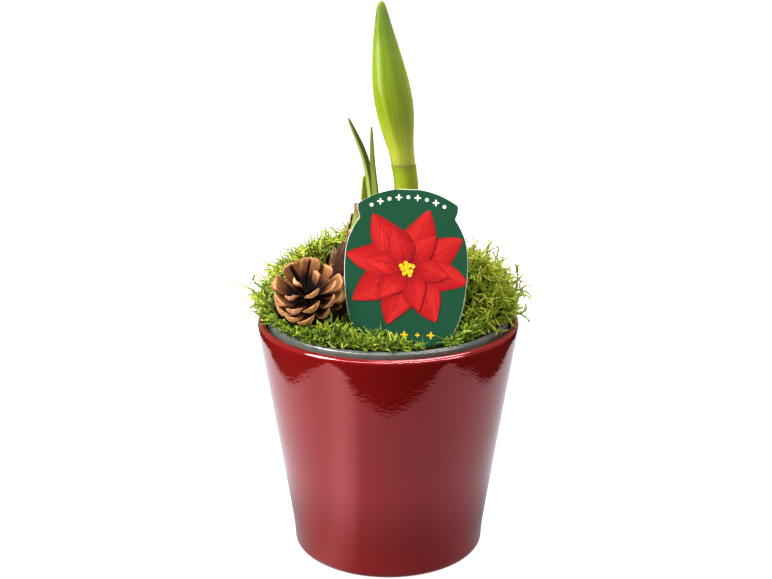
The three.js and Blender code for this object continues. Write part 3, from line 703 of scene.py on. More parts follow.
def add_neck_scales(flesh):
    """The pale green neck of fleshy scales, one inside the other, round a flat middle."""
    a = circle(BULB_SIDES)
    for outer, inner, low, high, seed, rise in NECK_SCALES:
        wave = ripples(seed, 5, 2, 9)
        tall = high + 0.5 * torn_edge(a + seed) + 0.7 * wave(a)
        tall = tall + rise * bell(a - math.radians(178), 0.5)
        rings, marks = [], []
        for t in np.linspace(0, 1, 10):
            z = mix(float(low), tall, t)
            rings.append(polar(a, neck_radius(z) + outer + 0.15 * wave(3 * a), z))
            marks.append(smooth(t, 0.76, 0.86) * 0.9 + 0 * a)
        rings.append(polar(a, neck_radius(195) + (outer + inner) / 2, tall + 0.35))
        marks.append(0.9 + 0 * a)
        for t in np.linspace(1, 0, 4):
            z = mix(float(low), tall, t)
            rings.append(polar(a, neck_radius(z) + inner, z))
            marks.append(smooth(t, 0.86, 1) * 0.5 + 0 * a)
        points, faces = tube(np.array(rings) + BULB_CENTRE, False, False, ends_meet=True)
        flesh.add(points, faces, tip=np.concatenate(marks))
    core = [polar(a, r, z) for r, z in ((15, 180), (15, 188), (12, 188.8), (6, 189), (1, 189))]
    flesh.add(*tube(np.array(core) + BULB_CENTRE), tip=0.15)


def build_bulb():
    skin, flesh = Shape(), Shape()
    add_outer_skin(skin)
    add_tongues(skin)
    add_flakes(skin)
    add_neck_scales(flesh)
    piece("bulb_skin_papery", skin, [bulb_skin_material()], ["bulb"], sharp=50)
    piece("bulb_neck_scales", flesh, [bulb_flesh_material()], ["bulb"], sharp=50)


# ---------------------------------------------------------------- stalk, bud and leaves
def build_stalk():
    a = circle(72)
    rings, marks, grains = [], [], []
    for z in np.linspace(184, STALK_TOP, 40):
        flare = 0.25 * smooth(z, 217, 220.5)
        x = (STALK_HALF_WIDTH - 0.1 + flare) * np.cos(a) * (1 + 0.008 * np.sin(8 * a))
        y = (STALK_HALF_DEPTH - 0.1 + flare) * np.sin(a) * (1 + 0.008 * np.sin(7 * a))
        rings.append(np.stack([along(STALK_X, z) + x, y, z + 0 * a], -1))
        marks.append(smooth(z, 217.5, 221) * 0.5 + 0 * a)
        grains.append(polar(a, 8, z))
    shape = Shape()
    shape.add(*tube(np.array(rings)), tip=with_caps(marks, 0, 0.8), grain=with_caps(grains, ORIGIN, ORIGIN))
    return piece("flower_stalk_green", shape, [stalk_material()], ["flower_stalk"])


# Bearing of the bud's front keel by height, and its other keels: bearing, height and half width.
BUD_RIDGE = [(221, -92), (230, -100), (241, -109), (259, -117), (278, -124), (308, -128)]
BUD_KEELS = [(-32, 0.05, 0.22), (62, 0.07, 0.22), (152, 0.05, 0.25)]
BUD_END = 308.4


def build_bud():
    a = circle(132)
    rings, heights, tones, grains = [], [], [], []
    foot, tip = STALK_TOP + GAP - 0.3, BUD_LEFT[-1][0]
    for z in foot + (BUD_END - foot) * np.linspace(0, 1, 120) ** 0.98:
        left, right, depth = along(BUD_LEFT, z), along(BUD_RIGHT, z), along(BUD_DEPTH, z)
        grown = smooth(z, 224, 240)
        r = 1.0
        for bearing, size, width in [(float(along(BUD_RIDGE, z)), 0.085, 0.20), *BUD_KEELS]:
            away = np.abs(off_angle(a, math.radians(bearing)))
            r = r + grown * size * np.exp(-((away / width) ** 1.5))
            r = r - grown * size * 0.35 * bell(away - 0.5, 0.3)
        r = r + (0.0035 * np.sin(26 * a) + 0.0025 * np.sin(41 * a + 1))
        x, y = r * np.cos(a), r * np.sin(a)
        x = (x - x.min()) / (x.max() - x.min())
        y = 2 * (y - y.min()) / (y.max() - y.min()) - 1
        rings.append(np.stack([mix(left, right, x), depth * y, z + 0 * a], -1))
        heights.append((z - STALK_TOP) / (tip - STALK_TOP) + 0 * a)
        side = bell(off_angle(a, math.radians(328)), 0.42)
        flush = 0.5 * side * smooth(z, 224, 232) * smooth(z, 275, 250) + 0.2 * smooth(z, 223.4, 221)
        # Painted highlight: a pale sheen streak down the lit front-left facet, between heights 256 and 294.
        painted_sheen = bell(off_angle(a, math.radians(-124 + 0.12 * (z - 275))), 0.16)
        painted_sheen = painted_sheen * smooth(z, 256, 268) * smooth(z, 294, 284)
        tones.append(flush - 0.45 * painted_sheen)
        grains.append(polar(a, 10, z))
    shape = Shape()
    shape.add(*tube(np.array(rings)), tip=with_caps(heights, 0, 1), tone=with_caps(tones, 0, 0),
              grain=with_caps(grains, ORIGIN, ORIGIN))
    return piece("flower_bud_closed", shape, [bud_material()], ["flower_bud"], sharp=60)


# Path, bearing that the blade faces, half width, depth of the fold, and how dark the green gets.
LEAVES = {
    "leaf_long": ([(-6.9, 2, 184), (-8.3, 2, 205), (-12.1, 1, 225), (-21.5, -0.5, 247)],
                  -15, 4.7, 3.6, 1.0),
    "leaf_middle": ([(-5.6, -3.6, 184), (-6.8, -3.4, 206), (-8.4, -3.6, 225), (-8.8, -4, 242.9)],
                    222, 2.9, 1.7, 0.9),
    # leaf_short's low darkness keeps it at the light foot colours of its painted light material.
    "leaf_short": ([(-11.4, 5.6, 184), (-12, 5.6, 198), (-12.5, 5.2, 207), (-13.2, 4.6, 214.2)],
                   -65, 4.2, 1.4, 0.3),
    "leaf_young": ([(-3.6, -8.2, 184), (-3.8, -7.8, 193), (-3.7, -7.2, 201), (-3.0, -6.6, 208.2)],
                   80, 2, 1.2, 1.0),
}
BLADE_STEPS, BLADE_COLUMNS, BLADE_THICKNESS, BLADE_ROUNDING = 46, 21, 1.1, 0.03


def build_leaf(name, material):
    path, facing, half_width, fold, dark = LEAVES[name]
    path, facing = np.array(path, float), math.radians(facing)
    knots = np.concatenate([[0], np.cumsum(np.linalg.norm(np.diff(path, axis=0), axis=1))])
    share = np.linspace(0, 0.995, BLADE_STEPS)
    centre = np.stack([along(list(zip(knots, path[:, k])), share * knots[-1]) for k in range(3)], -1)
    tangent = unit(np.gradient(centre, axis=0))
    across = unit(np.cross(tangent, np.array([math.cos(facing), math.sin(facing), 0])))
    inward = unit(np.cross(across, tangent))

    # The fold is a rounded V, and the blade is thickest along its middle.
    u = np.linspace(-1, 1, BLADE_COLUMNS)
    taper = np.sqrt(1 - share**1.6)[:, None]
    half = half_width * taper
    valley = math.sqrt(BLADE_ROUNDING)
    rounded = (np.sqrt(u * u + BLADE_ROUNDING) - valley) / (math.sqrt(1 + BLADE_ROUNDING) - valley)
    low = (rounded - 1) * (fold * taper)
    ridge = 0.1 * np.cos(u * 9 * np.pi) * (1 - np.abs(u)) * taper
    body = BLADE_THICKNESS * (0.55 + 0.45 * taper) * np.sqrt(np.clip(1 - u**4, 0, 1))

    def side(wide, high):
        return centre[:, None] + across[:, None] * wide[..., None] + inward[:, None] * high[..., None]

    tip = np.repeat(share, BLADE_COLUMNS)
    rim = 0.75 * smooth(np.abs(u), 0.8, 1.0)
    upper, under = rim + 0.35 * bell(u, 0.1), np.maximum(rim, 0.7)
    if name == "leaf_middle":
        upper = under = smooth(u, -0.1, 0.5)
    tone = np.concatenate([np.tile(upper, BLADE_STEPS), np.tile(under, BLADE_STEPS)])
    grain = np.stack([np.tile(u * half_width, BLADE_STEPS), 0 * tip, tip * knots[-1]], -1)
    shape = Shape()
    shape.add(*plate(side(half * u * 0.98, low + body + ridge + 0.02), side(half * u, low)),
              tip=np.tile(tip, 2) * dark, tone=tone, grain=np.tile(grain, (2, 1)))
    return piece(name + "_blade", shape, [material], [name], sharp=70)


# ---------------------------------------------------------------- pine cone
def cone_frame():
    """Matrix and shift that lay the upright cone in its place."""
    lean, tip = math.radians(CONE_LEAN), math.radians(CONE_TIP)
    turn_y = np.array([[math.cos(lean), 0, math.sin(lean)], [0, 1, 0], [-math.sin(lean), 0, math.cos(lean)]])
    turn_x = np.array([[1, 0, 0], [0, math.cos(tip), -math.sin(tip)], [0, math.sin(tip), math.cos(tip)]])
    turn = turn_y @ turn_x
    return turn, np.array(CONE_PLACE) + turn @ np.array([0, 0, -CONE_MIDDLE])


# Scales in sight: bearing, reach and height of the tip, height of the root, size, roll and crack.
SEEN_SCALES = [
    (95, 18.6, 24.2, 11, 0.95, 0, 1), (130, 19.2, 21.2, 10, 1.08, -8, -1.25),
    (65, 18.8, 21.7, 10, 0.92, -6, 0), (-178, 19.2, 21, 10.5, 1.12, 6, 0), (20, 18.6, 23, 11, 0.95, 4, 0),
    (-24, 15.2, 30, 13.5, 0.82, 2, 0), (-79, 16.1, 32, 14.5, 0.85, 32, 0),
    (-119, 18.8, 27.6, 13, 0.72, 30, 0), (-139, 20.6, 20.6, 10, 1.12, -2, 0),
    (-108, 20.4, 20.6, 10.3, 1.0, 18, 0), (-79, 19.7, 24.6, 11.5, 1.0, 34, 0),
    (-45, 19, 25.4, 12.5, 0.92, 26, 0), (-129, 20.6, 15.4, 9, 1.0, -5, 0),
    (-110, 20.6, 14.4, 9.3, 1.0, 4, 0), (-85, 21, 15.6, 10.3, 1.1, 34, 0),
    (-56, 20.4, 19.4, 10.2, 0.88, 28, 0), (-22, 19.6, 24, 11.5, 0.9, 10, 0),
    (-135, 10.8, 31.2, 12, 0.45, 4, 0), (50, 6, 28.2, 12, 0.45, -20, 0),
]
# Scales under this size are slim ones near the tip, and some scales end in a drop of resin.
SLIM_SIZE, RESIN_SCALES = 0.5, (7, 9, 17)
# The other scales, from the lowest (0) to the highest (1): reach and height of the tip.
HIDDEN_COUNT, SPIRAL_STEP = 40, 137.508
HIDDEN_REACH = [(0, 8.5), (0.2, 11.5), (0.45, 17), (0.7, 20.6), (1, 19.6)]
HIDDEN_HEIGHT = [(0, -2.5), (0.3, 2), (0.6, 10), (1, 22)]
# Along a scale: share of its length, half width, thickness above and below, curl, and paleness, near 0 at the
# foot for painted shade deep in the cone.
SCALE_FORM = [
    (0.10, 1.3, 0.7, 0.8, 0.0, 0.00), (0.30, 2.0, 0.5, 0.6, 0.0, 0.01), (0.44, 2.7, 0.45, 0.55, 0.0, 0.1),
    (0.56, 3.6, 0.4, 0.55, 0.05, 0.3), (0.66, 4.4, 0.4, 0.6, 0.2, 0.52), (0.76, 5.1, 0.4, 0.8, 0.4, 0.68),
    (0.84, 5.4, 0.45, 1.1, 0.65, 0.8), (0.90, 5.35, 0.5, 1.7, 0.95, 0.88), (0.945, 4.9, 0.45, 2.3, 1.2, 0.93),
    (0.975, 4.3, 0.3, 2.5, 1.35, 1.0), (0.995, 3.5, 0.1, 2.0, 1.35, 0.97), (1.005, 2.4, -0.2, 1.4, 1.2, 0.92),
]


def hidden_scales():
    """Scales on a golden-angle spiral, where no scale in sight has their room."""
    for i in range(HIDDEN_COUNT):
        share = (i + 0.5) / HIDDEN_COUNT
        a, height = i * SPIRAL_STEP % 360, float(along(HIDDEN_HEIGHT, share))
        beside = [abs((a - b + 180) % 360 - 180) * 0.34 < 8.2 for b, *_ in SEEN_SCALES]
        level = [abs(height - z) < 6 for _, _, z, *_ in SEEN_SCALES]
        if not any(x and y for x, y in zip(beside, level)) and not 185 < a < 340:
            root = 4 + 0.32 * max(height, 0)
            yield a, float(along(HIDDEN_REACH, share)), height, root, 0.86 + 0.12 * share, 0, 0


def round_scale(upper, lower):
    """Values round a scale's section, from those across its upper and its lower side."""
    return np.concatenate([upper, lower[::-1][1:-1]])[::-1]


def scale_axes(bearing, reach, rise, roll):
    """A scale's directions outwards, sideways and up."""
    a, tilt = math.radians(bearing), math.atan2(rise, reach)
    out = np.array([math.cos(a) * math.cos(tilt), math.sin(a) * math.cos(tilt), math.sin(tilt)])
    side = np.array([-math.sin(a), math.cos(a), 0])
    top = np.cross(out, side)
    return out, side * math.cos(roll) + top * math.sin(roll), top * math.cos(roll) - side * math.sin(roll)


def add_scale(shape, i, row, rng, to_place):
    """A skin over sections along one scale, with its grooves, its crack with painted shade in it, its pale
    rim and painted shade on its lower side.
    """
    bearing, reach, height, root_height, size, roll, crack = row
    slim = size < SLIM_SIZE
    size = 0.72 if slim else size
    length = math.hypot(height - root_height, reach)
    roll = math.radians(roll) + rng.normal() * 0.05
    out, side, top = scale_axes(bearing, reach, height - root_height, roll)
    warp = rng.normal(size=4)
    paleness = rng.uniform(-0.05, 0.04)
    grooves = [(-0.42 + 0.1 * warp[0], 0.28), (0.36 + 0.1 * warp[1], 0.24), (0.02, 0.2)]
    resin = 0.42 if i in RESIN_SCALES else 0.0
    u = np.linspace(-1, 1, 17)
    rings, tips, tones, grains = [], [], [], []
    for t, half, above, below, curl, pale in SCALE_FORM:
        w = half * size * (0.85 if slim else 1) * (1 + 0.05 * warp[0])
        dish = 0.9 * smooth(t, 0.3, 0.75) * smooth(t, 1.0, 0.86) * (1 - u * u) * 0.6
        cup = (0.55 * u * u * (0.3 + t) - dish) * size
        cup = cup + warp[2] * 0.16 * u * t + warp[3] * 0.1 * np.sin(3 * u + 1) * t
        groove = sum(-depth * bell(u - at, 0.08) for at, depth in grooves)
        crack_at = np.sign(crack) * (0.4 - 0.42 * smooth(t, 0.3, 1.0))
        gape = bell(u - crack_at, 0.1 + 0.3 * max(0, abs(crack) - 1)) * min(1, abs(crack))
        begun = smooth(t, 0.1, 0.3)
        groove = groove * begun * smooth(t, 0.92, 0.7) - 1.1 * gape * begun * smooth(t, 1.0, 0.9)
        upper = (above * np.sqrt(np.clip(1 - u**4, 0, 1)) + groove) * size + cup
        lower = -(below * np.clip(1 - np.abs(u) ** 2.4, 0, 1) ** 0.7) * size + cup - 0.12
        centre = np.array([0, 0, root_height]) + out * length * t + top * (curl * size)
        sides = [centre + np.outer(u * w, side) + np.outer(high, top) for high in (upper, lower)]
        rings.append(round_scale(*sides))
        level = pale + paleness * smooth(t, 0.5, 0.8)
        rim = smooth(np.abs(u), 0.8, 0.97) * smooth(t, 0.45, 0.7) * 0.16
        # Painted shade darkens the crack.
        painted_crack_shade = 0.6 * gape * smooth(t, 0.3, 0.5) * smooth(t, 0.99, 0.9)
        up_side = level - 0.03 * smooth(t, 0.55, 0.75) * smooth(t, 0.96, 0.9) + rim - painted_crack_shade
        # Painted shade: the lower side is darker than the upper, save at the end.
        tips.append(round_scale(up_side, level - 0.55 * smooth(t, 0.94, 0.82) + 0 * u))
        glow = bell(u, 0.32) * smooth(t, 0.993, 1.004) * resin
        tones.append(round_scale(glow, glow))
        across = round_scale(u, u) * w
        grains.append(np.stack([across + 40 * i, 0 * across + t * length, 0 * across], -1))
    points, faces = tube(np.array(rings))
    shape.add(to_place(points), faces, tip=np.clip(with_caps(tips, tips[0].mean(), tips[-1].mean()), 0, 1),
              tone=with_caps(tones, 0, tones[-1].max()), grain=with_caps(grains, [40 * i] * 3, [40 * i] * 3))


def build_cone():
    turn, shift = cone_frame()
    to_place = lambda points: points @ turn.T + shift
    rng = np.random.default_rng(11)
    shape = Shape()
    for i, row in enumerate([*SEEN_SCALES, *hidden_scales()]):
        add_scale(shape, i, row, rng, to_place)
    # The core keeps paleness 0: the near-black painted shade deep in the cone.
    core = [polar(circle(24), r, z) for r, z in
            ((0.1, -0.4), (3, -0.2), (5, 0.6), (7, 6), (6, 13), (3, 17), (1, 19))]
    points, faces = tube(np.array(core))
    shape.add(to_place(points), faces)
    return piece("pine_cone_open", shape, [cone_material()], ["pine_cone"], sharp=45)


# ---------------------------------------------------------------- plant label
LABEL_FOOT, LABEL_TURN, LABEL_TILT = (8.0, -50.0, 133.0), math.radians(1.8), math.radians(20.6)
LABEL_LID, LABEL_PRINT_TOP, CARD_COLUMNS = 69.4, 84.3, 17
STAR_U, STAR_V, PRINT_LAYER = 0.5, 43.0, 0.06
# Materials of the card, by slot.
RED, GOLD, WHITE = 2, 3, 4
# Bracts of the star, the outer ones first: turn, length and width.
OUTER_BRACTS = [
    (18, 33, 19), (62, 33, 20), (104, 33, 19), (150, 32, 20), (196, 31, 19), (238, 33, 20), (284, 33, 19),
    (328, 34, 20),
]
INNER_BRACTS = [(40, 23, 14), (98, 22, 13), (160, 23, 14), (222, 22, 14), (282, 23, 13), (342, 22, 14)]


def label_half(v):
    """Half the card's width at height v: the stake, the body and the round lid."""
    v = np.asarray(v, float)
    rise = v - (LABEL_HEIGHT - LABEL_ARC)
    arc_half = np.sqrt(np.maximum(0, LABEL_ARC**2 - rise**2)) - 0.4
    lid = np.maximum(0.8, np.minimum(mix(25.3, 26.5, smooth(v, LABEL_LID, 74)), arc_half))
    return np.where(v < 0, along(LABEL_STAKE, v), np.where(v < LABEL_LID, along(LABEL_SHAPE, v), lid))


def label_axes(v):
    """Middle of the card at height v, and its directions across and back. The stake bends upright."""
    step, sin, cos = 0.5, math.sin(LABEL_TURN), math.cos(LABEL_TURN)
    tilt_at = lambda w: LABEL_TILT * float(smooth(w, -18, 0))
    up = lambda t: np.array([sin, cos * math.sin(t), cos * math.cos(t)])
    tilt = tilt_at(v)
    point = np.array(LABEL_FOOT) + up(tilt) * max(v, 0)
    w = 0.0
    while w > v:
        point = point - up(tilt_at(w)) * step
        w -= step
    across = np.array([cos, -sin * math.sin(tilt), -sin * math.cos(tilt)])
    return point, across, np.array([0, math.cos(tilt), -math.sin(tilt)])


def on_label(u, v, height):
    """Points of the upright face of the card at (u, v), raised by height towards the front."""
    point, across, back = label_axes(0)
    up = label_axes(1)[0] - point
    u, v = np.asarray(u, float)[..., None], np.asarray(v, float)[..., None]
    return point + u * across + v * up - back * (LABEL_THICKNESS / 2 + height)


def add_card(shape):
    """The card with its stake. The middle of its front is green, inside a pale edge."""
    rows = np.concatenate([np.arange(-45, 0, 1.5), np.arange(0, 69, 1.0), np.linspace(69, 84.6, 40), [84.9]])
    front, back = [], []
    for v in rows:
        point, across, normal = label_axes(v)
        half = float(label_half(v))
        border = 0.2 / half if half > 1.6 else 0.4
        middle = np.linspace(-1 + border, 1 - border, CARD_COLUMNS - 4)
        u = np.concatenate([[-1, -0.995], middle, [0.995, 1]])
        depth = LABEL_THICKNESS / 2 * np.where(np.abs(u) > 0.999, 0.7, 1.0)
        line = point + np.outer(u * half, across)
        front.append(line - np.outer(depth, normal))
        back.append(line + np.outer(depth, normal))
    shape.add(*plate(np.array(front), np.array(back)))
    column = np.tile(np.arange(CARD_COLUMNS - 1), len(rows) - 1)
    height = np.repeat(rows[:-1], CARD_COLUMNS - 1)
    printed = (column >= 2) & (column <= CARD_COLUMNS - 4) & (height >= -3) & (height < LABEL_PRINT_TOP)
    shape.slots[0] = np.where(printed, 1, 0)


def add_sticker(shape, u, v, height, slot, tone=0.8, grain=None):
    """A closed thin print from a grid of (u, v), kept inside the edge of the card."""
    limit = label_half(v) - 0.6
    u, v = np.clip(u, -limit, limit), np.minimum(v, 83.4)
    tone = np.broadcast_to(tone, u.shape).ravel()
    grain = np.zeros((u.size, 3)) if grain is None else grain.reshape(-1, 3)
    shape.add(*plate(on_label(u, v, height + 0.05), on_label(u, v, height)), slot=slot,
              tone=np.tile(tone, 2), grain=np.tile(grain, (2, 1)))


def add_bract(shape, angle, length, width, height, dark, seed):
    """One red bract of the star, dark at its foot, with a pale and a dark side."""
    s, c = np.meshgrid(np.linspace(0, 1, 26), np.linspace(-1, 1, 15), indexing="ij")
    form = np.sin(np.pi * np.clip(s, 0, 1) ** 0.8) ** 0.8 * (1 - 0.2 * s) + 0.02
    wave = 1 + 0.06 * np.sin(9 * s + seed + 2 * c)
    lengthwise = 2 + (length - 2) * s
    crosswise = width / 2 * form * c * wave + 1.2 * np.sin(2.4 * s + seed) * s
    u = STAR_U + lengthwise * math.sin(angle) + crosswise * math.cos(angle)
    v = STAR_V + lengthwise * math.cos(angle) - crosswise * math.sin(angle)
    light = 0.78 + 0.22 * np.cos(2.2 * c + 0.8) - 0.5 * bell(c, 0.06) * (1 - s)
    light *= mix(dark, 1, smooth(s, 0.0, 0.55)) * (1 - 0.25 * smooth(np.abs(c), 0.75, 1))
    grain = np.stack([np.abs(crosswise) * 2 + lengthwise * 0.9, lengthwise, 0 * s + seed * 9], -1)
    add_sticker(shape, u, v, height, RED, np.clip(light, 0, 1), grain)


def add_spot(shape, u, v, radius, slot, height=0.02, points=None):
    """A dot, or a cross where it has points."""
    turn = np.linspace(0, 2 * np.pi, 25)
    r = radius if points is None else radius * (0.38 + 0.62 * np.abs(np.cos(turn * points / 2)) ** 3)
    ring = np.linspace(0.02, 1, 3)[::-1, None]
    add_sticker(shape, u + ring * r * np.sin(turn), v + ring * r * np.cos(turn), height, slot)


def build_label():
    shape = Shape()
    add_card(shape)
    layer = 0.02
    for bracts, dark, seed, step in ((OUTER_BRACTS, 0.35, 0, 1.3), (INNER_BRACTS, 0.4, 4, 0.9)):
        for n, (angle, length, width) in enumerate(bracts):
            add_bract(shape, math.radians(angle), length, width, layer, dark, seed + n * step)
            layer += PRINT_LAYER
    for n in range(11):
        angle, r = n * GOLDEN_ANGLE, 0.75 * math.sqrt(n) * 1.55
        u, v = STAR_U + r * math.cos(angle), STAR_V + r * math.sin(angle)
        add_spot(shape, u, v, 1.15, GOLD, layer + 0.02 * n)
    garland = 42.3
    for n, angle in enumerate(np.radians(np.linspace(-27, 27, 9))):
        u, v = garland * math.sin(angle), LABEL_HEIGHT - LABEL_ARC + garland * math.cos(angle)
        add_spot(shape, u, v, 1.9 if n % 2 else 1.0, WHITE, points=4 if n % 2 else None)
    for n, u in enumerate((-14, -7, 0, 7, 14)):
        add_spot(shape, u, 8.2, 1.4 if n % 2 else 2.1, GOLD, points=4)
    materials = [
        print_material("label_card", (236, 236, 230)), print_material("label_green", (23, 71, 47)),
        bract_material(), print_material("label_gold", (240, 186, 30)),
        print_material("label_white", (238, 240, 234)),
    ]
    return piece("plant_label_card", shape, materials, ["plant_label"], sharp=30)


# ---------------------------------------------------------------- camera and screen
CAMERA_Y, CAMERA_Z, CAMERA_DOWN, FOCAL_PX = -782.5, 401.4, math.radians(17.78), 1485.5
PICTURE_WIDTH, MIDDLE_X, MIDDLE_Y = 772, 388.3, 289.5


def screen(points):
    """Where points land in the 772 x 579 picture."""
    x, y, z = points[..., 0], points[..., 1] - CAMERA_Y, points[..., 2] - CAMERA_Z
    depth = y * math.cos(CAMERA_DOWN) - z * math.sin(CAMERA_DOWN)
    up = y * math.sin(CAMERA_DOWN) + z * math.cos(CAMERA_DOWN)
    return MIDDLE_X + FOCAL_PX * x / depth, MIDDLE_Y - FOCAL_PX * up / depth


def from_screen(px, py, y):
    """The point at depth y that lands at (px, py)."""
    angle = CAMERA_DOWN - math.atan((MIDDLE_Y - py) / FOCAL_PX)
    z = CAMERA_Z - (y - CAMERA_Y) * math.tan(angle)
    depth = (y - CAMERA_Y) * math.cos(CAMERA_DOWN) - (z - CAMERA_Z) * math.sin(CAMERA_DOWN)
    return np.array([(px - MIDDLE_X) * depth / FOCAL_PX, y, z])


def build_camera():
    data = bpy.data.cameras.new("camera")
    data.sensor_width = 36
    data.lens = data.sensor_width * FOCAL_PX / PICTURE_WIDTH
    data.shift_x = -(MIDDLE_X - PICTURE_WIDTH / 2) / PICTURE_WIDTH
    data.dof.use_dof = False
    camera = in_scene("camera", data)
    camera.location = (0, CAMERA_Y / 1000, CAMERA_Z / 1000)
    camera.rotation_euler = (math.pi / 2 - CAMERA_DOWN, 0, 0)
    bpy.context.scene.camera = camera


# ---------------------------------------------------------------- moss
def front_share(a):
    return smooth(-np.sin(a), 0.1, 0.85)


def moss_skin(a, s):
    """A point of the cushion's skin at bearing a: its top up to s = 1, and past that its side."""
    front = front_share(a)
    share = np.minimum(s, 1)
    r = mix(67, 62.3, front) * share
    lumps = 1.7 * np.sin(5 * a + r * 0.12) * np.cos(r * 0.16 + 1) + 1.2 * np.sin(9 * a - r * 0.2 + 2)
    height = mix(mix(177, 150, front), mix(149, 140, front), share ** mix(2.6, 1.1, front))
    height = height + lumps * (1 - share**4)
    x, y = r * np.cos(a), r * np.sin(a)
    height = height - 8 * bell(x - 15, 14) * smooth(-y, 34, 50)
    beside = np.hypot(x - BULB_X, y - BULB_Y) - 31
    bearing = np.degrees(np.arctan2(BULB_Y - y, BULB_X - x))
    height = height - 12 * smooth(beside, 15, 4) * smooth(np.abs(bearing - 30), 44, 24)
    z = mix(height, 138.55, np.clip((s - 1) / 0.12, 0, 1))
    return polar(a, r - np.maximum(s - 1, 0) * 5, z)


def in_cone(points, clearance):
    """How far points are inside the room of the pine cone (above 0 is inside)."""
    turn, shift = cone_frame()
    x, y, z = np.moveaxis((points - shift) @ turn, -1, 0)
    inside = along(CONE_REACH, z) + clearance - np.hypot(x, y)
    return np.where((z > -3 - clearance) & (z < 34 + clearance), inside, -1.0)


def label_place(points):
    """Across, height and distance behind the middle of the card's upright part."""
    point, across, back = label_axes(0)
    up = label_axes(1)[0] - point
    away = points - point
    return away @ across, away @ up, away @ back


def build_moss_bed():
    a = circle(150)
    rough, fine = ripples(21, 12, 8, 40), ripples(22, 14, 30, 74)
    rings = [polar(a, 9.0, 150.0)]
    for s in np.concatenate([np.linspace(0.16, 0.98, 34), [1.0, 1.05, 1.1]]):
        ring = moss_skin(a, s)
        ring[:, 2] -= 2.4 * smooth(s, 1.06, 0.9)
        ring[:, 2] += (1.3 * rough(a, s * 90) + 0.9 * fine(a, s * 160)) * smooth(s, 1.05, 0.95)
        ring[:, :2] *= 0.985
        for _ in range(60):
            ring[:, 2] -= 0.5 * (in_cone(ring, 0.2) > 0)
        ring[:, 2] = np.maximum(ring[:, 2], 126)
        rings.append(ring)
    rings += [polar(a, LIP_INNER - 0.8, 136.6), polar(a, LIP_INNER - 2.8, 122.4)]
    shape = Shape()
    shape.add(*tube(np.array(rings)))
    return piece("moss_bed", shape, [moss_bed_material()], ["moss"], sharp=80)


# Outline of the dense moss in the picture, as (height, left) and (height, right), and its skyline
# behind the bulb. In front of the card, moss stays below the last line.
MOSS_LEFT = [
    (240, 322), (244, 311), (249, 303), (254, 293), (264, 281), (269, 275), (278, 266), (286, 260),
    (297, 256), (308, 256), (318, 260), (345, 263),
]
MOSS_RIGHT = [
    (250, 474), (257, 492), (266, 498), (275, 505), (282, 513), (293, 516), (303, 518), (313, 515),
    (318, 511), (330, 508), (345, 503),
]
MOSS_SKYLINE = [(300, 240), (325, 238), (340, 234), (350, 232), (470, 250), (480, 255), (500, 257)]
CARD_MOSS = [
    (330, 300), (345, 318), (352, 327), (365, 330), (380, 331), (395, 331), (404, 330), (411, 339),
    (420, 346), (437, 349), (444, 344), (455, 334), (470, 318),
]
# Boxes of the picture round the bulb's left side that stay clear: left, right, top, bottom, and the
# depth that moss in them has to be behind.
CLEAR_BOXES = [(330, 346, 246, 270, 24), (339, 348, 236, 262, 20), (328, 346, 244, 292, 2)]
MOSS_LOW, MOSS_HIGH = np.array([-82.0, -74.0, 0]), np.array([83.0, 77.6, 320])
CONE_SEEN, CONE_SEEN_HALF = (308, 291), (36, 35)
FROND_COUNT, FROND_POINTS, EDGE_SPREAD = 6500, 9, 2.4
# Fronds lie on the lip of the grey pot and on the rim of the glazed one: radius where the lip starts
# and ends, and where the rim ends.
LIP_START, LIP_END, RIM_END, NO_FLOOR = 62.2, 68.4, 73.4, -1e3


def frond_growth(rng, a, s, below_cone):
    """Root, direction, length and depth of each frond. Those below the cone are short and rise."""
    count, front, edge = len(a), front_share(a), smooth(s, 0.75, 1)
    root = moss_skin(a, s)
    root = np.where(below_cone[:, None], polar(a, rng.uniform(60, 66, count), 139.2), root)
    radial = polar(a, 1.0, 0.0)
    tangent = np.stack([-np.sin(a), np.cos(a), 0 * a], -1)
    heading = rng.normal(size=count) * mix(2.4, 1.3, edge)
    rise = np.radians(rng.uniform(-4, 56, count) * mix(1, 0.75, edge))
    growth = radial * (np.cos(heading) * np.cos(rise))[:, None]
    growth += tangent * (np.sin(heading) * np.cos(rise))[:, None]
    growth[:, 2] += np.sin(rise)
    length = rng.uniform(9, 25, count) * mix(1, 0.6, front) * mix(1, 0.85, edge)
    length = np.where(below_cone, rng.uniform(4, 11, count), length)
    depth = rng.uniform(0.2, 4.5, count)
    by_cone = below_cone | ((in_cone(root, 14.0) > 0) & (root[:, 1] < -34))
    depth = np.where(by_cone, depth * 0.2 - 1.5, depth) * ~below_cone
    growth[:, 2] = np.where(by_cone, np.abs(growth[:, 2]) + 0.35, growth[:, 2])
    root = root - unit(growth) * 1.5
    root[:, 2] -= depth
    return root, growth, length, depth


def frond_curves(rng, root, growth, length, below_cone):
    """Bent paths from the roots. At the front most of them stay inside the pot's lip."""
    count = len(root)
    bend = rng.normal(size=(count, 3)) * 1.15
    bend[:, 2] -= 0.1
    wave = unit(rng.normal(size=(count, 3)))
    t = np.linspace(0, 1, FROND_POINTS)[None, :, None]
    turning = rng.uniform(4, 10, (count, 1, 1))
    steps = unit(growth[:, None] + bend[:, None] * t + wave[:, None] * 0.6 * np.sin(t * turning))
    curve = root[:, None] + np.cumsum(steps, axis=1) * (length / FROND_POINTS)[:, None, None]
    radius = np.hypot(curve[..., 0], curve[..., 1])
    held = (curve[..., 1] < -22) & (rng.random((count, 1)) < 0.95)
    limit = np.where(below_cone, 66.6, 62.4)[:, None]
    inside = np.where(held, np.minimum(1, limit / radius), 1.0)
    curve[..., :2] *= inside[..., None]
    radius *= inside
    floor = np.where(radius > LIP_END, 136.2, np.where(radius > LIP_START, 138.5, NO_FLOOR))
    curve[..., 2] = np.maximum(curve[..., 2], np.where(radius > RIM_END, NO_FLOOR, floor))
    return curve


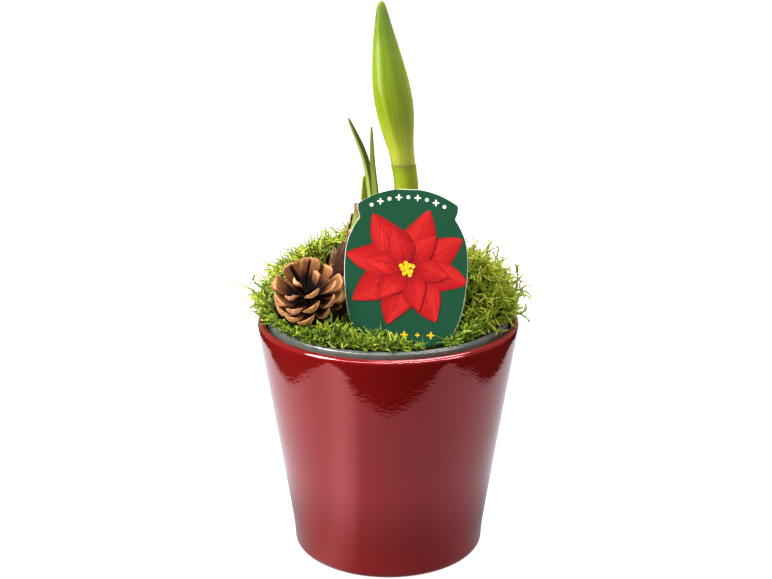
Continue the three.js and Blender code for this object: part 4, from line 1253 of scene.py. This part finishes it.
def kept_fronds(rng, curve, below_cone):
    """Which fronds stay: those clear of the cone, the bulb and the card, and inside the outline."""
    x, y, z = np.moveaxis(curve, -1, 0)
    one_each = (len(curve), 1)
    drop = in_cone(curve, 0.2) > np.where(below_cone, 3.6, 0.0)[:, None]
    px, py = screen(curve)
    near_cone = sum(((p - at) / half) ** 2 for p, at, half in zip((px, py), CONE_SEEN, CONE_SEEN_HALF))
    drop |= (near_cone < 0.9) & (y < -34)
    drop |= py < np.interp(px, *np.array(MOSS_SKYLINE).T) - rng.exponential(EDGE_SPREAD, one_each)
    left, right = (np.interp(py, *np.array(rows, float).T) for rows in (MOSS_LEFT, MOSS_RIGHT))
    reach = rng.exponential(EDGE_SPREAD, one_each)
    drop |= (px < left - reach) | (px > right + reach)
    for west, east, top, bottom, depth in CLEAR_BOXES:
        drop |= (px > west) & (px < east) & (py > top) & (py < bottom) & (y < depth)
    u, v, n = label_place(curve)
    within = (np.abs(u) < label_half(np.clip(v, 0, 84)) + 0.5) & (v > -5) & (v < 86)
    behind, ahead = within & (n > 1.2), within & (n < -1.2)
    drop |= within & ~behind & ~ahead
    card = np.interp(px, *np.array(CARD_MOSS).T)
    drop |= (n < 1.2) & (np.abs(u) < 40) & (py < card - 0.5) & (px > 330) & (px < 470)
    from_bulb = np.hypot(x - BULB_X, y - BULB_Y)
    drop |= (from_bulb < along(BULB_PROFILE, np.clip(z, 140, 195)) + 0.4) & (z > 150)
    drop |= ((curve <= MOSS_LOW) | (curve >= MOSS_HIGH)).any(2)
    return ~drop.any(1) & ~(behind.any(1) & ahead.any(1))


def build_fronds(rng):
    i = np.arange(FROND_COUNT)
    below_cone = i % 16 == 7
    s = np.sqrt(mix(0.25**2, 1.12**2, (i + 0.5) / FROND_COUNT))
    a = (i * GOLDEN_ANGLE) % (2 * np.pi)
    a = np.where(below_cone, np.radians(rng.uniform(204, 240, FROND_COUNT)), a)
    root, growth, length, depth = frond_growth(rng, a, s, below_cone)
    curve = frond_curves(rng, root, growth, length, below_cone)
    keep = kept_fronds(rng, curve, below_cone)
    front = front_share(a)
    # Painted shade and light in the tone: fronds sunk deeper, three in four at the front, those at the front
    # right and those under the cone (its painted shadow) are darker, and those on the right side lighter.
    tone = rng.random(FROND_COUNT) * mix(1.1, 0.75, depth / 4.5) * mix(1, 0.62, front * (i % 4 > 0))
    tone = tone + 0.24 * np.maximum(0, np.cos(a))
    tone = tone * (1 - 0.45 * front * smooth(np.cos(a), 0.1, 0.6)) * (1 - 0.35 * below_cone)
    return curve[keep], length[keep], tone[keep].clip(0, 1), a[keep]


# Wisps that stand out of the cushion: tip, way and root in the picture, and how far back they are.
STRAYS = [
    ((236, 286), (253, 291), (284, 323), -24), ((243, 305), (252, 298), (264, 304), -14),
    ((249, 310), (257, 304), (270, 312), -20), ((261, 260), (270, 265), (279, 270), 18),
    ((260, 272), (253, 279), (264, 290), 6), ((291, 246), (292, 251), (298, 262), 26),
    ((310, 233), (312, 240), (317, 252), 34), ((323, 229), (328, 233), (334, 244), 30),
    ((342, 222), (345, 228), (346, 240), 24), ((283, 257), (287, 262), (292, 268), 26),
    ((264, 269), (269, 272), (276, 281), 8), ((262, 279), (266, 283), (272, 290), 4),
    ((252, 290), (255, 295), (264, 299), -6), ((296, 247), (301, 248), (309, 254), 30),
    ((285, 252), (290, 253), (298, 259), 28), ((247, 296), (254, 295), (268, 303), -10),
    ((303, 238), (307, 244), (312, 250), 32), ((331, 226), (335, 232), (338, 240), 30),
    ((270, 262), (273, 267), (281, 275), 14), ((266, 265), (270, 271), (278, 279), 12),
    ((478, 239), (476, 244), (470, 252), 40), ((488, 237), (488, 246), (480, 257), 38),
    ((493, 241), (490, 244), (486, 254), 36), ((502, 247), (493, 249), (487, 254), 34),
    ((493, 250), (495, 256), (500, 264), 32), ((503, 256), (502, 261), (498, 270), 30),
    ((510, 268), (505, 270), (498, 271), 24), ((509, 269), (506, 273), (502, 281), 20),
    ((516, 265), (517, 273), (517, 284), 14), ((513, 264), (516, 265), (517, 270), 14),
    ((520, 265), (518, 266), (517, 270), 14), ((526, 281), (520, 283), (522, 292), 12),
    ((533, 288), (525, 286), (517, 299), 6), ((532, 298), (526, 292), (517, 290), 4),
    ((531, 301), (525, 295), (514, 299), 0), ((531, 323), (524, 316), (512, 311), -10),
    ((525, 303), (526, 309), (521, 313), -8), ((514, 326), (511, 323), (507, 316), -28),
    ((508, 329), (502, 331), (494, 327), -34), ((496, 336), (496, 331), (490, 325), -38),
    ((523, 274), (519, 279), (512, 285), 12), ((497, 245), (498, 251), (496, 260), 32),
]


TWIGS, MOSS_PARTS = 5, 5
# Along a twig: radius, and paleness of its green, lowest at the stem for painted shade inside the cushion.
TWIG_RADII = np.array([[0.36, 0.5, 0.32, 0.36, 0.09]])
TWIG_TIPS = np.array([0.2, 0.25, 0.35, 0.45, 0.6])


def stray_wisps():
    """Curves through the tip, the way and the root of each wisp, from a little below its root."""
    t = np.linspace(-0.2, 1, FROND_POINTS)[:, None]
    wisps = []
    for *seen, depth in STRAYS:
        end, middle, start = (from_screen(px, py, depth) for px, py in seen)
        handle = 2 * middle - (start + end) / 2
        wisps.append((1 - t) ** 2 * start + 2 * t * (1 - t) * handle + t * t * end)
    return np.array(wisps)


def add_stems(shape, lines, thickness, shade, tone):
    points, faces = strands(lines, thickness)
    k = lines.shape[1]
    # Painted shade: each stem starts at 0.2 of the moss ramp, dark at its foot in the cushion.
    tips = shade[:, None] * mix(0.2, 1, np.linspace(0, 1, k))
    shape.add(points, faces, tip=np.repeat(tips.ravel(), STEM_SIDES), tone=np.repeat(tone, k * STEM_SIDES))


def add_twigs(shape, rng, lines, length, bare, shade, tone):
    """Short side twigs along each stem, to the left and right by turns. Bare stems have fewer."""
    m, k, _ = lines.shape
    rows = np.arange(m)
    tangent = unit(np.gradient(lines, axis=1))
    flat = unit(np.cross(tangent, unit(rng.normal(size=(m, 1, 3)))))
    q = np.linspace(0, 1, TWIG_TIPS.size)[None, :, None]
    for j in range(TWIGS):
        at = 0.18 + 0.74 * (j + rng.uniform(-0.4, 0.4, m)) / TWIGS
        x = at * (k - 1)
        low = np.clip(x.astype(int), 0, k - 2)
        between = lambda values: mix(values[rows, low], values[rows, low + 1], (x - low)[:, None])
        start, ahead = between(lines), unit(between(tangent))
        sideways = between(flat) * (1 if j % 2 else -1)
        third = np.cross(ahead, sideways)
        way = unit(ahead * 0.8 + sideways * 0.8 + third * rng.normal(size=(m, 1)) * 0.5)
        reach = (length * (0.34 - 0.18 * at) + 0.9) * rng.uniform(0.45, 1.25, m)
        reach = (reach * np.where(bare, 0.5, 1))[:, None, None]
        curl = rng.normal(size=(m, 1, 3)) * 0.45
        twig = start[:, None] + way[:, None] * reach * q
        twig = twig + (ahead[:, None] * 0.3 + curl) * reach * q**2
        radii = TWIG_RADII * rng.uniform(0.8, 1.2, (m, 1))
        radius = np.hypot(twig[..., 0], twig[..., 1])
        drop = (radius > 62) & (radius < 73.3) & (twig[..., 2] < 138)
        drop |= in_cone(twig, 0.0) > 0
        u, v, n = label_place(twig)
        drop |= (np.abs(n) < 0.7) & (np.abs(u) < label_half(np.clip(v, 0, 84)))
        clear = ~drop.any(1) & ~(bare & (rng.random(m) < 0.3))
        points, faces = strands(twig[clear], radii[clear])
        tips = (at[clear, None] * 0.6 + TWIG_TIPS) * shade[clear, None]
        shape.add(points, faces, tip=np.repeat(tips.ravel(), STEM_SIDES),
                  tone=np.repeat(tone[clear], TWIG_TIPS.size * STEM_SIDES))


def build_moss():
    material = moss_material()
    rng = np.random.default_rng(77)
    curve, length, tone, bearing = build_fronds(rng)
    wisps = stray_wisps()
    bare = np.concatenate([np.zeros(len(curve), bool), np.ones(len(wisps), bool)])
    curve = np.concatenate([curve, wisps])
    length = np.concatenate([length, np.linalg.norm(wisps[:, -1] - wisps[:, 0], axis=1)])
    tone = np.concatenate([tone, rng.uniform(0.4, 0.9, len(wisps))])
    bearing = np.concatenate([bearing, np.arctan2(wisps[:, 0, 1], wisps[:, 0, 0]) % (2 * np.pi)])
    share = np.linspace(0, 1, FROND_POINTS)
    knotty = np.where(np.arange(FROND_POINTS) % 2, 1.22, 0.78)
    taper = np.where(share < 0.999, 0.66 - 0.36 * share**2, 0.1) * knotty
    taper = taper[None] * rng.uniform(0.8, 1.25, (len(curve), 1))
    for number, chosen in enumerate(np.array_split(np.argsort(bearing), MOSS_PARTS)):
        shape = Shape()
        shade = mix(1, 0.72, front_share(bearing[chosen]))
        add_stems(shape, curve[chosen], taper[chosen], shade, tone[chosen])
        add_twigs(shape, rng, curve[chosen], length[chosen], bare[chosen], shade, tone[chosen])
        piece(f"moss_fronds_{number + 1}", shape, [material], ["moss"], sharp=80)


# ---------------------------------------------------------------- studio
def stage_mesh(name, corners, material, faces=((0, 1, 2, 3),)):
    mesh = bpy.data.meshes.new(name)
    mesh.from_pydata(corners, [], faces)
    mesh.materials.append(material)
    thing = in_scene(name, mesh)
    thing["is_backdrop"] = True
    return thing


def glow_material(name, colour, strength):
    """A glowing material. Its strength is a number, or the name of a value that the mesh holds."""
    material = bpy.data.materials.new(name)
    material.use_nodes = True
    tree = material.node_tree
    tree.nodes.remove(tree.nodes["Principled BSDF"])
    if isinstance(strength, str):
        strength = add_node(tree, "Attribute", attribute_name=strength).outputs["Fac"]
    glow = add_node(tree, "Emission", {"Color": colour, "Strength": strength})
    plug(tree, tree.nodes["Material Output"].inputs["Surface"], glow.outputs[0])
    return material


def hide_from(thing, *rays):
    for ray in rays:
        setattr(thing, "visible_" + ray, False)


def reflected_only(thing):
    """A studio card that is seen in gloss and nowhere else."""
    hide_from(thing, "camera", "diffuse", "shadow", "transmission", "volume_scatter")

# Edge of the glowing card that paints the lit floor in the glaze, from behind on the left, round the front,
# to behind on the right.
LIT_EDGE = [
    (-172, 322), (-193, 280), (-209, 254), (-222, 224), (-236, 190), (-243, 157), (-239, 120), (-238, 90),
    (-235, 47), (-229, 7), (-228, -33), (-226, -71), (-219, -99), (-212, -122), (-218, -193), (-136, -193),
    (-112, -189), (-83, -192), (-52, -195), (10, -192), (61, -193), (106, -187), (130, -184), (150, -181),
    (217, -187), (208, -125), (223, -88), (229, -54), (229, -9), (232, 32), (234, 64), (235, 101),
    (235, 143), (236, 171), (230, 200), (215, 240), (200, 262), (180, 300),
]


# The floor far behind, in metres.
FAR_FLOOR = [(-0.172, 0.322, 0.001), (0.18, 0.3, 0.001), (1.54, 2.57, 0.001), (-1.41, 2.64, 0.001)]
DARK_REACH = 3000
LIGHT_MIDDLE = np.array([0, 0, 0.13])
# Lamps: name, direction, distance, size and power.
LAMPS = [
    ("key", (-0.74, -0.3, 0.6), 1.7, (0.55, 0.8), 64), ("fill", (0.74, -0.42, 0.52), 1.7, (0.5, 0.6), 12),
    ("top", (0.22, 0.26, 0.94), 1.7, (0.9, 0.9), 29),
]


def sheet(points):
    """Corners in metres and faces of an open sheet through a grid of points."""
    k, n = points.shape[:2]
    cell = np.arange(k * n).reshape(k, n)
    quads = np.stack([cell[:-1, :-1], cell[1:, :-1], cell[1:, 1:], cell[:-1, 1:]], -1).reshape(-1, 4)
    return (points.reshape(-1, 3) / 1000).tolist(), quads.tolist()


def build_floor_glow():
    """Glowing cards seen only in gloss, which paint the glaze's reflections: the lit part of the floor, the
    floor far behind, and dark all round.
    """
    turns = [np.linspace(a, b, 14, endpoint=False) for a, b in zip(LIT_EDGE, LIT_EDGE[1:] + LIT_EDGE[:1])]
    edge = np.concatenate(turns + [np.array(LIT_EDGE[:1], float)])
    bearing = np.degrees(np.unwrap(np.arctan2(edge[:, 0], -edge[:, 1])))
    share = np.linspace(0, 1, 30)[:, None]
    r = mix(50.0, np.hypot(*edge.T)[None], share**1.5)
    points = np.concatenate([r[..., None] * unit(edge)[None], np.ones(r.shape + (1,))], -1)
    # Painted reflection: the card glows brighter in a band at the left front, and dimmer near the pot.
    left = 0.9 + 0.62 * bell(bearing + 40, 12)
    right = np.interp(bearing, [-24, 0, 30, 60, 100, 180], [0.68, 0.62, 0.55, 0.6, 0.62, 0.8])
    glow = mix(left, right, smooth(bearing, -28.5, -21))[None] * mix(0.42, 1.0, smooth(r, 66, 128))
    corners, faces = sheet(points)
    card = stage_mesh("lit_floor_card", corners, glow_material("lit_floor", (1, 1, 1.06, 1), "glow"), faces)
    card.data.attributes.new("glow", "FLOAT", "POINT").data.foreach_set("value", glow.ravel())
    reflected_only(card)
    reflected_only(stage_mesh("far_floor_card", FAR_FLOOR, glow_material("far_floor", (1, 1, 1.04, 1), 0.82)))

    rim = np.concatenate(turns[:-1] + [np.array(LIT_EDGE[-1:], float)])
    points = [np.column_stack([line, np.ones(len(rim))]) for line in (rim, unit(rim) * DARK_REACH)]
    corners, faces = sheet(np.stack(points))
    dark = glow_material("dark_card", (0.01, 0.01, 0.01, 1), 1.0)
    reflected_only(stage_mesh("dark_cards", corners, dark, faces))


def build_strip(*shiny):
    """A long bright strip above the front, seen only in the gloss of the two pots."""
    corners = [(-1.5, -0.87, 1.235), (1.1, -0.87, 1.235), (1.1, -0.83, 1.275), (-1.5, -0.83, 1.275)]
    strip = stage_mesh("strip_card", corners, glow_material("strip", (1, 1, 1, 1), 110.0))
    reflected_only(strip)
    seen_by = bpy.data.collections.new("shiny")
    for thing in shiny:
        seen_by.objects.link(thing)
    strip.light_linking.receiver_collection = seen_by


def build_floor():
    """The white floor, and a card in it that throws light up at the object."""
    square = lambda half, z: [(-half, -half, z), (half, -half, z), (half, half, z), (-half, half, z)]
    floor = Material("studio_floor", Specular_IOR_Level=0.0, Emission_Color=(1, 1, 1, 1),
                     Emission_Strength=0.84)
    cloud = floor.noise(floor.place(), 3, 2)
    shade = floor.ramp(cloud, (0.3, (186, 186, 186)), (0.7, (190, 190, 190)))
    hide_from(stage_mesh("floor", square(9, 0), floor.finish(shade, 0.9)), "diffuse")
    bounce = stage_mesh("bounce_card", square(3, -0.002), glow_material("bounce", (1, 1, 0.97, 1), 0.6))
    hide_from(bounce, "camera", "glossy", "shadow", "transmission")


def build_lamps():
    for name, toward, distance, size, power in LAMPS:
        data = bpy.data.lights.new(name, "AREA")
        data.shape = "RECTANGLE"
        data.size, data.size_y = size
        data.energy = power
        light = in_scene(name, data)
        away = np.array(toward) / np.linalg.norm(toward)
        light.location = away * distance + LIGHT_MIDDLE
        light.rotation_euler = (math.acos(away[2]), 0, math.atan2(away[1], away[0]) + math.pi / 2)


def build_world():
    """A dim bluish room that the camera sees as white."""
    world = bpy.data.worlds.new("studio")
    bpy.context.scene.world = world
    world.use_nodes = True
    tree = world.node_tree
    room = tree.nodes["Background"]
    room.inputs["Color"].default_value = (0.96, 0.98, 1, 1)
    room.inputs["Strength"].default_value = 0.22
    white = add_node(tree, "Background", {"Color": (1, 1, 1, 1)})
    from_camera = add_node(tree, "LightPath").outputs["Is Camera Ray"]
    both = add_node(tree, "MixShader", {0: from_camera, 1: room.outputs[0], 2: white.outputs[0]})
    plug(tree, tree.nodes["World Output"].inputs["Surface"], both.outputs[0])
    view = bpy.context.scene.view_settings
    view.view_transform = "Standard"
    view.look = "None"


# ---------------------------------------------------------------- all of it
def dress_soil():
    soil = soil_material()
    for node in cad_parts.values():
        if node.name == "potting_soil":
            for slot in node.material_slots:
                slot.material = soil


def build_leaves():
    green = leaf_material("leaf_green", (136, 156, 60), (160, 172, 80), (0.0, (172, 186, 70)),
                          (0.3, (136, 156, 48)), (0.6, (74, 106, 38)), (1.0, (82, 108, 42)))
    olive = leaf_material("leaf_olive", (132, 132, 54), (88, 72, 34), (0.0, (160, 172, 60)),
                          (0.3, (130, 148, 46)), (0.6, (102, 122, 38)), (1.0, (108, 122, 46)))
    # Painted light: a lighter copy of the leaf green for leaf_short, brightened to make up for the shade it
    # gets from the leaves and card near it.
    pale = leaf_material("leaf_green_painted_lit", (150, 166, 58), (206, 214, 120), (0.0, (196, 208, 92)),
                         (0.3, (184, 198, 76)))
    for name in LEAVES:
        build_leaf(name, {"leaf_middle": olive, "leaf_short": pale}.get(name, green))


build_camera()
build_floor()
build_floor_glow()
build_lamps()
build_world()
build_strip(build_cachepot(), build_nursery_pot())
dress_soil()
build_bulb()
build_stalk()
build_bud()
build_leaves()
build_cone()
build_label()
build_moss_bed()
build_moss()

as_lists = lambda box: [[float(value) for value in corner] for corner in box]
{"cad": as_lists(cad_box), "visual": as_lists(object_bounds())}
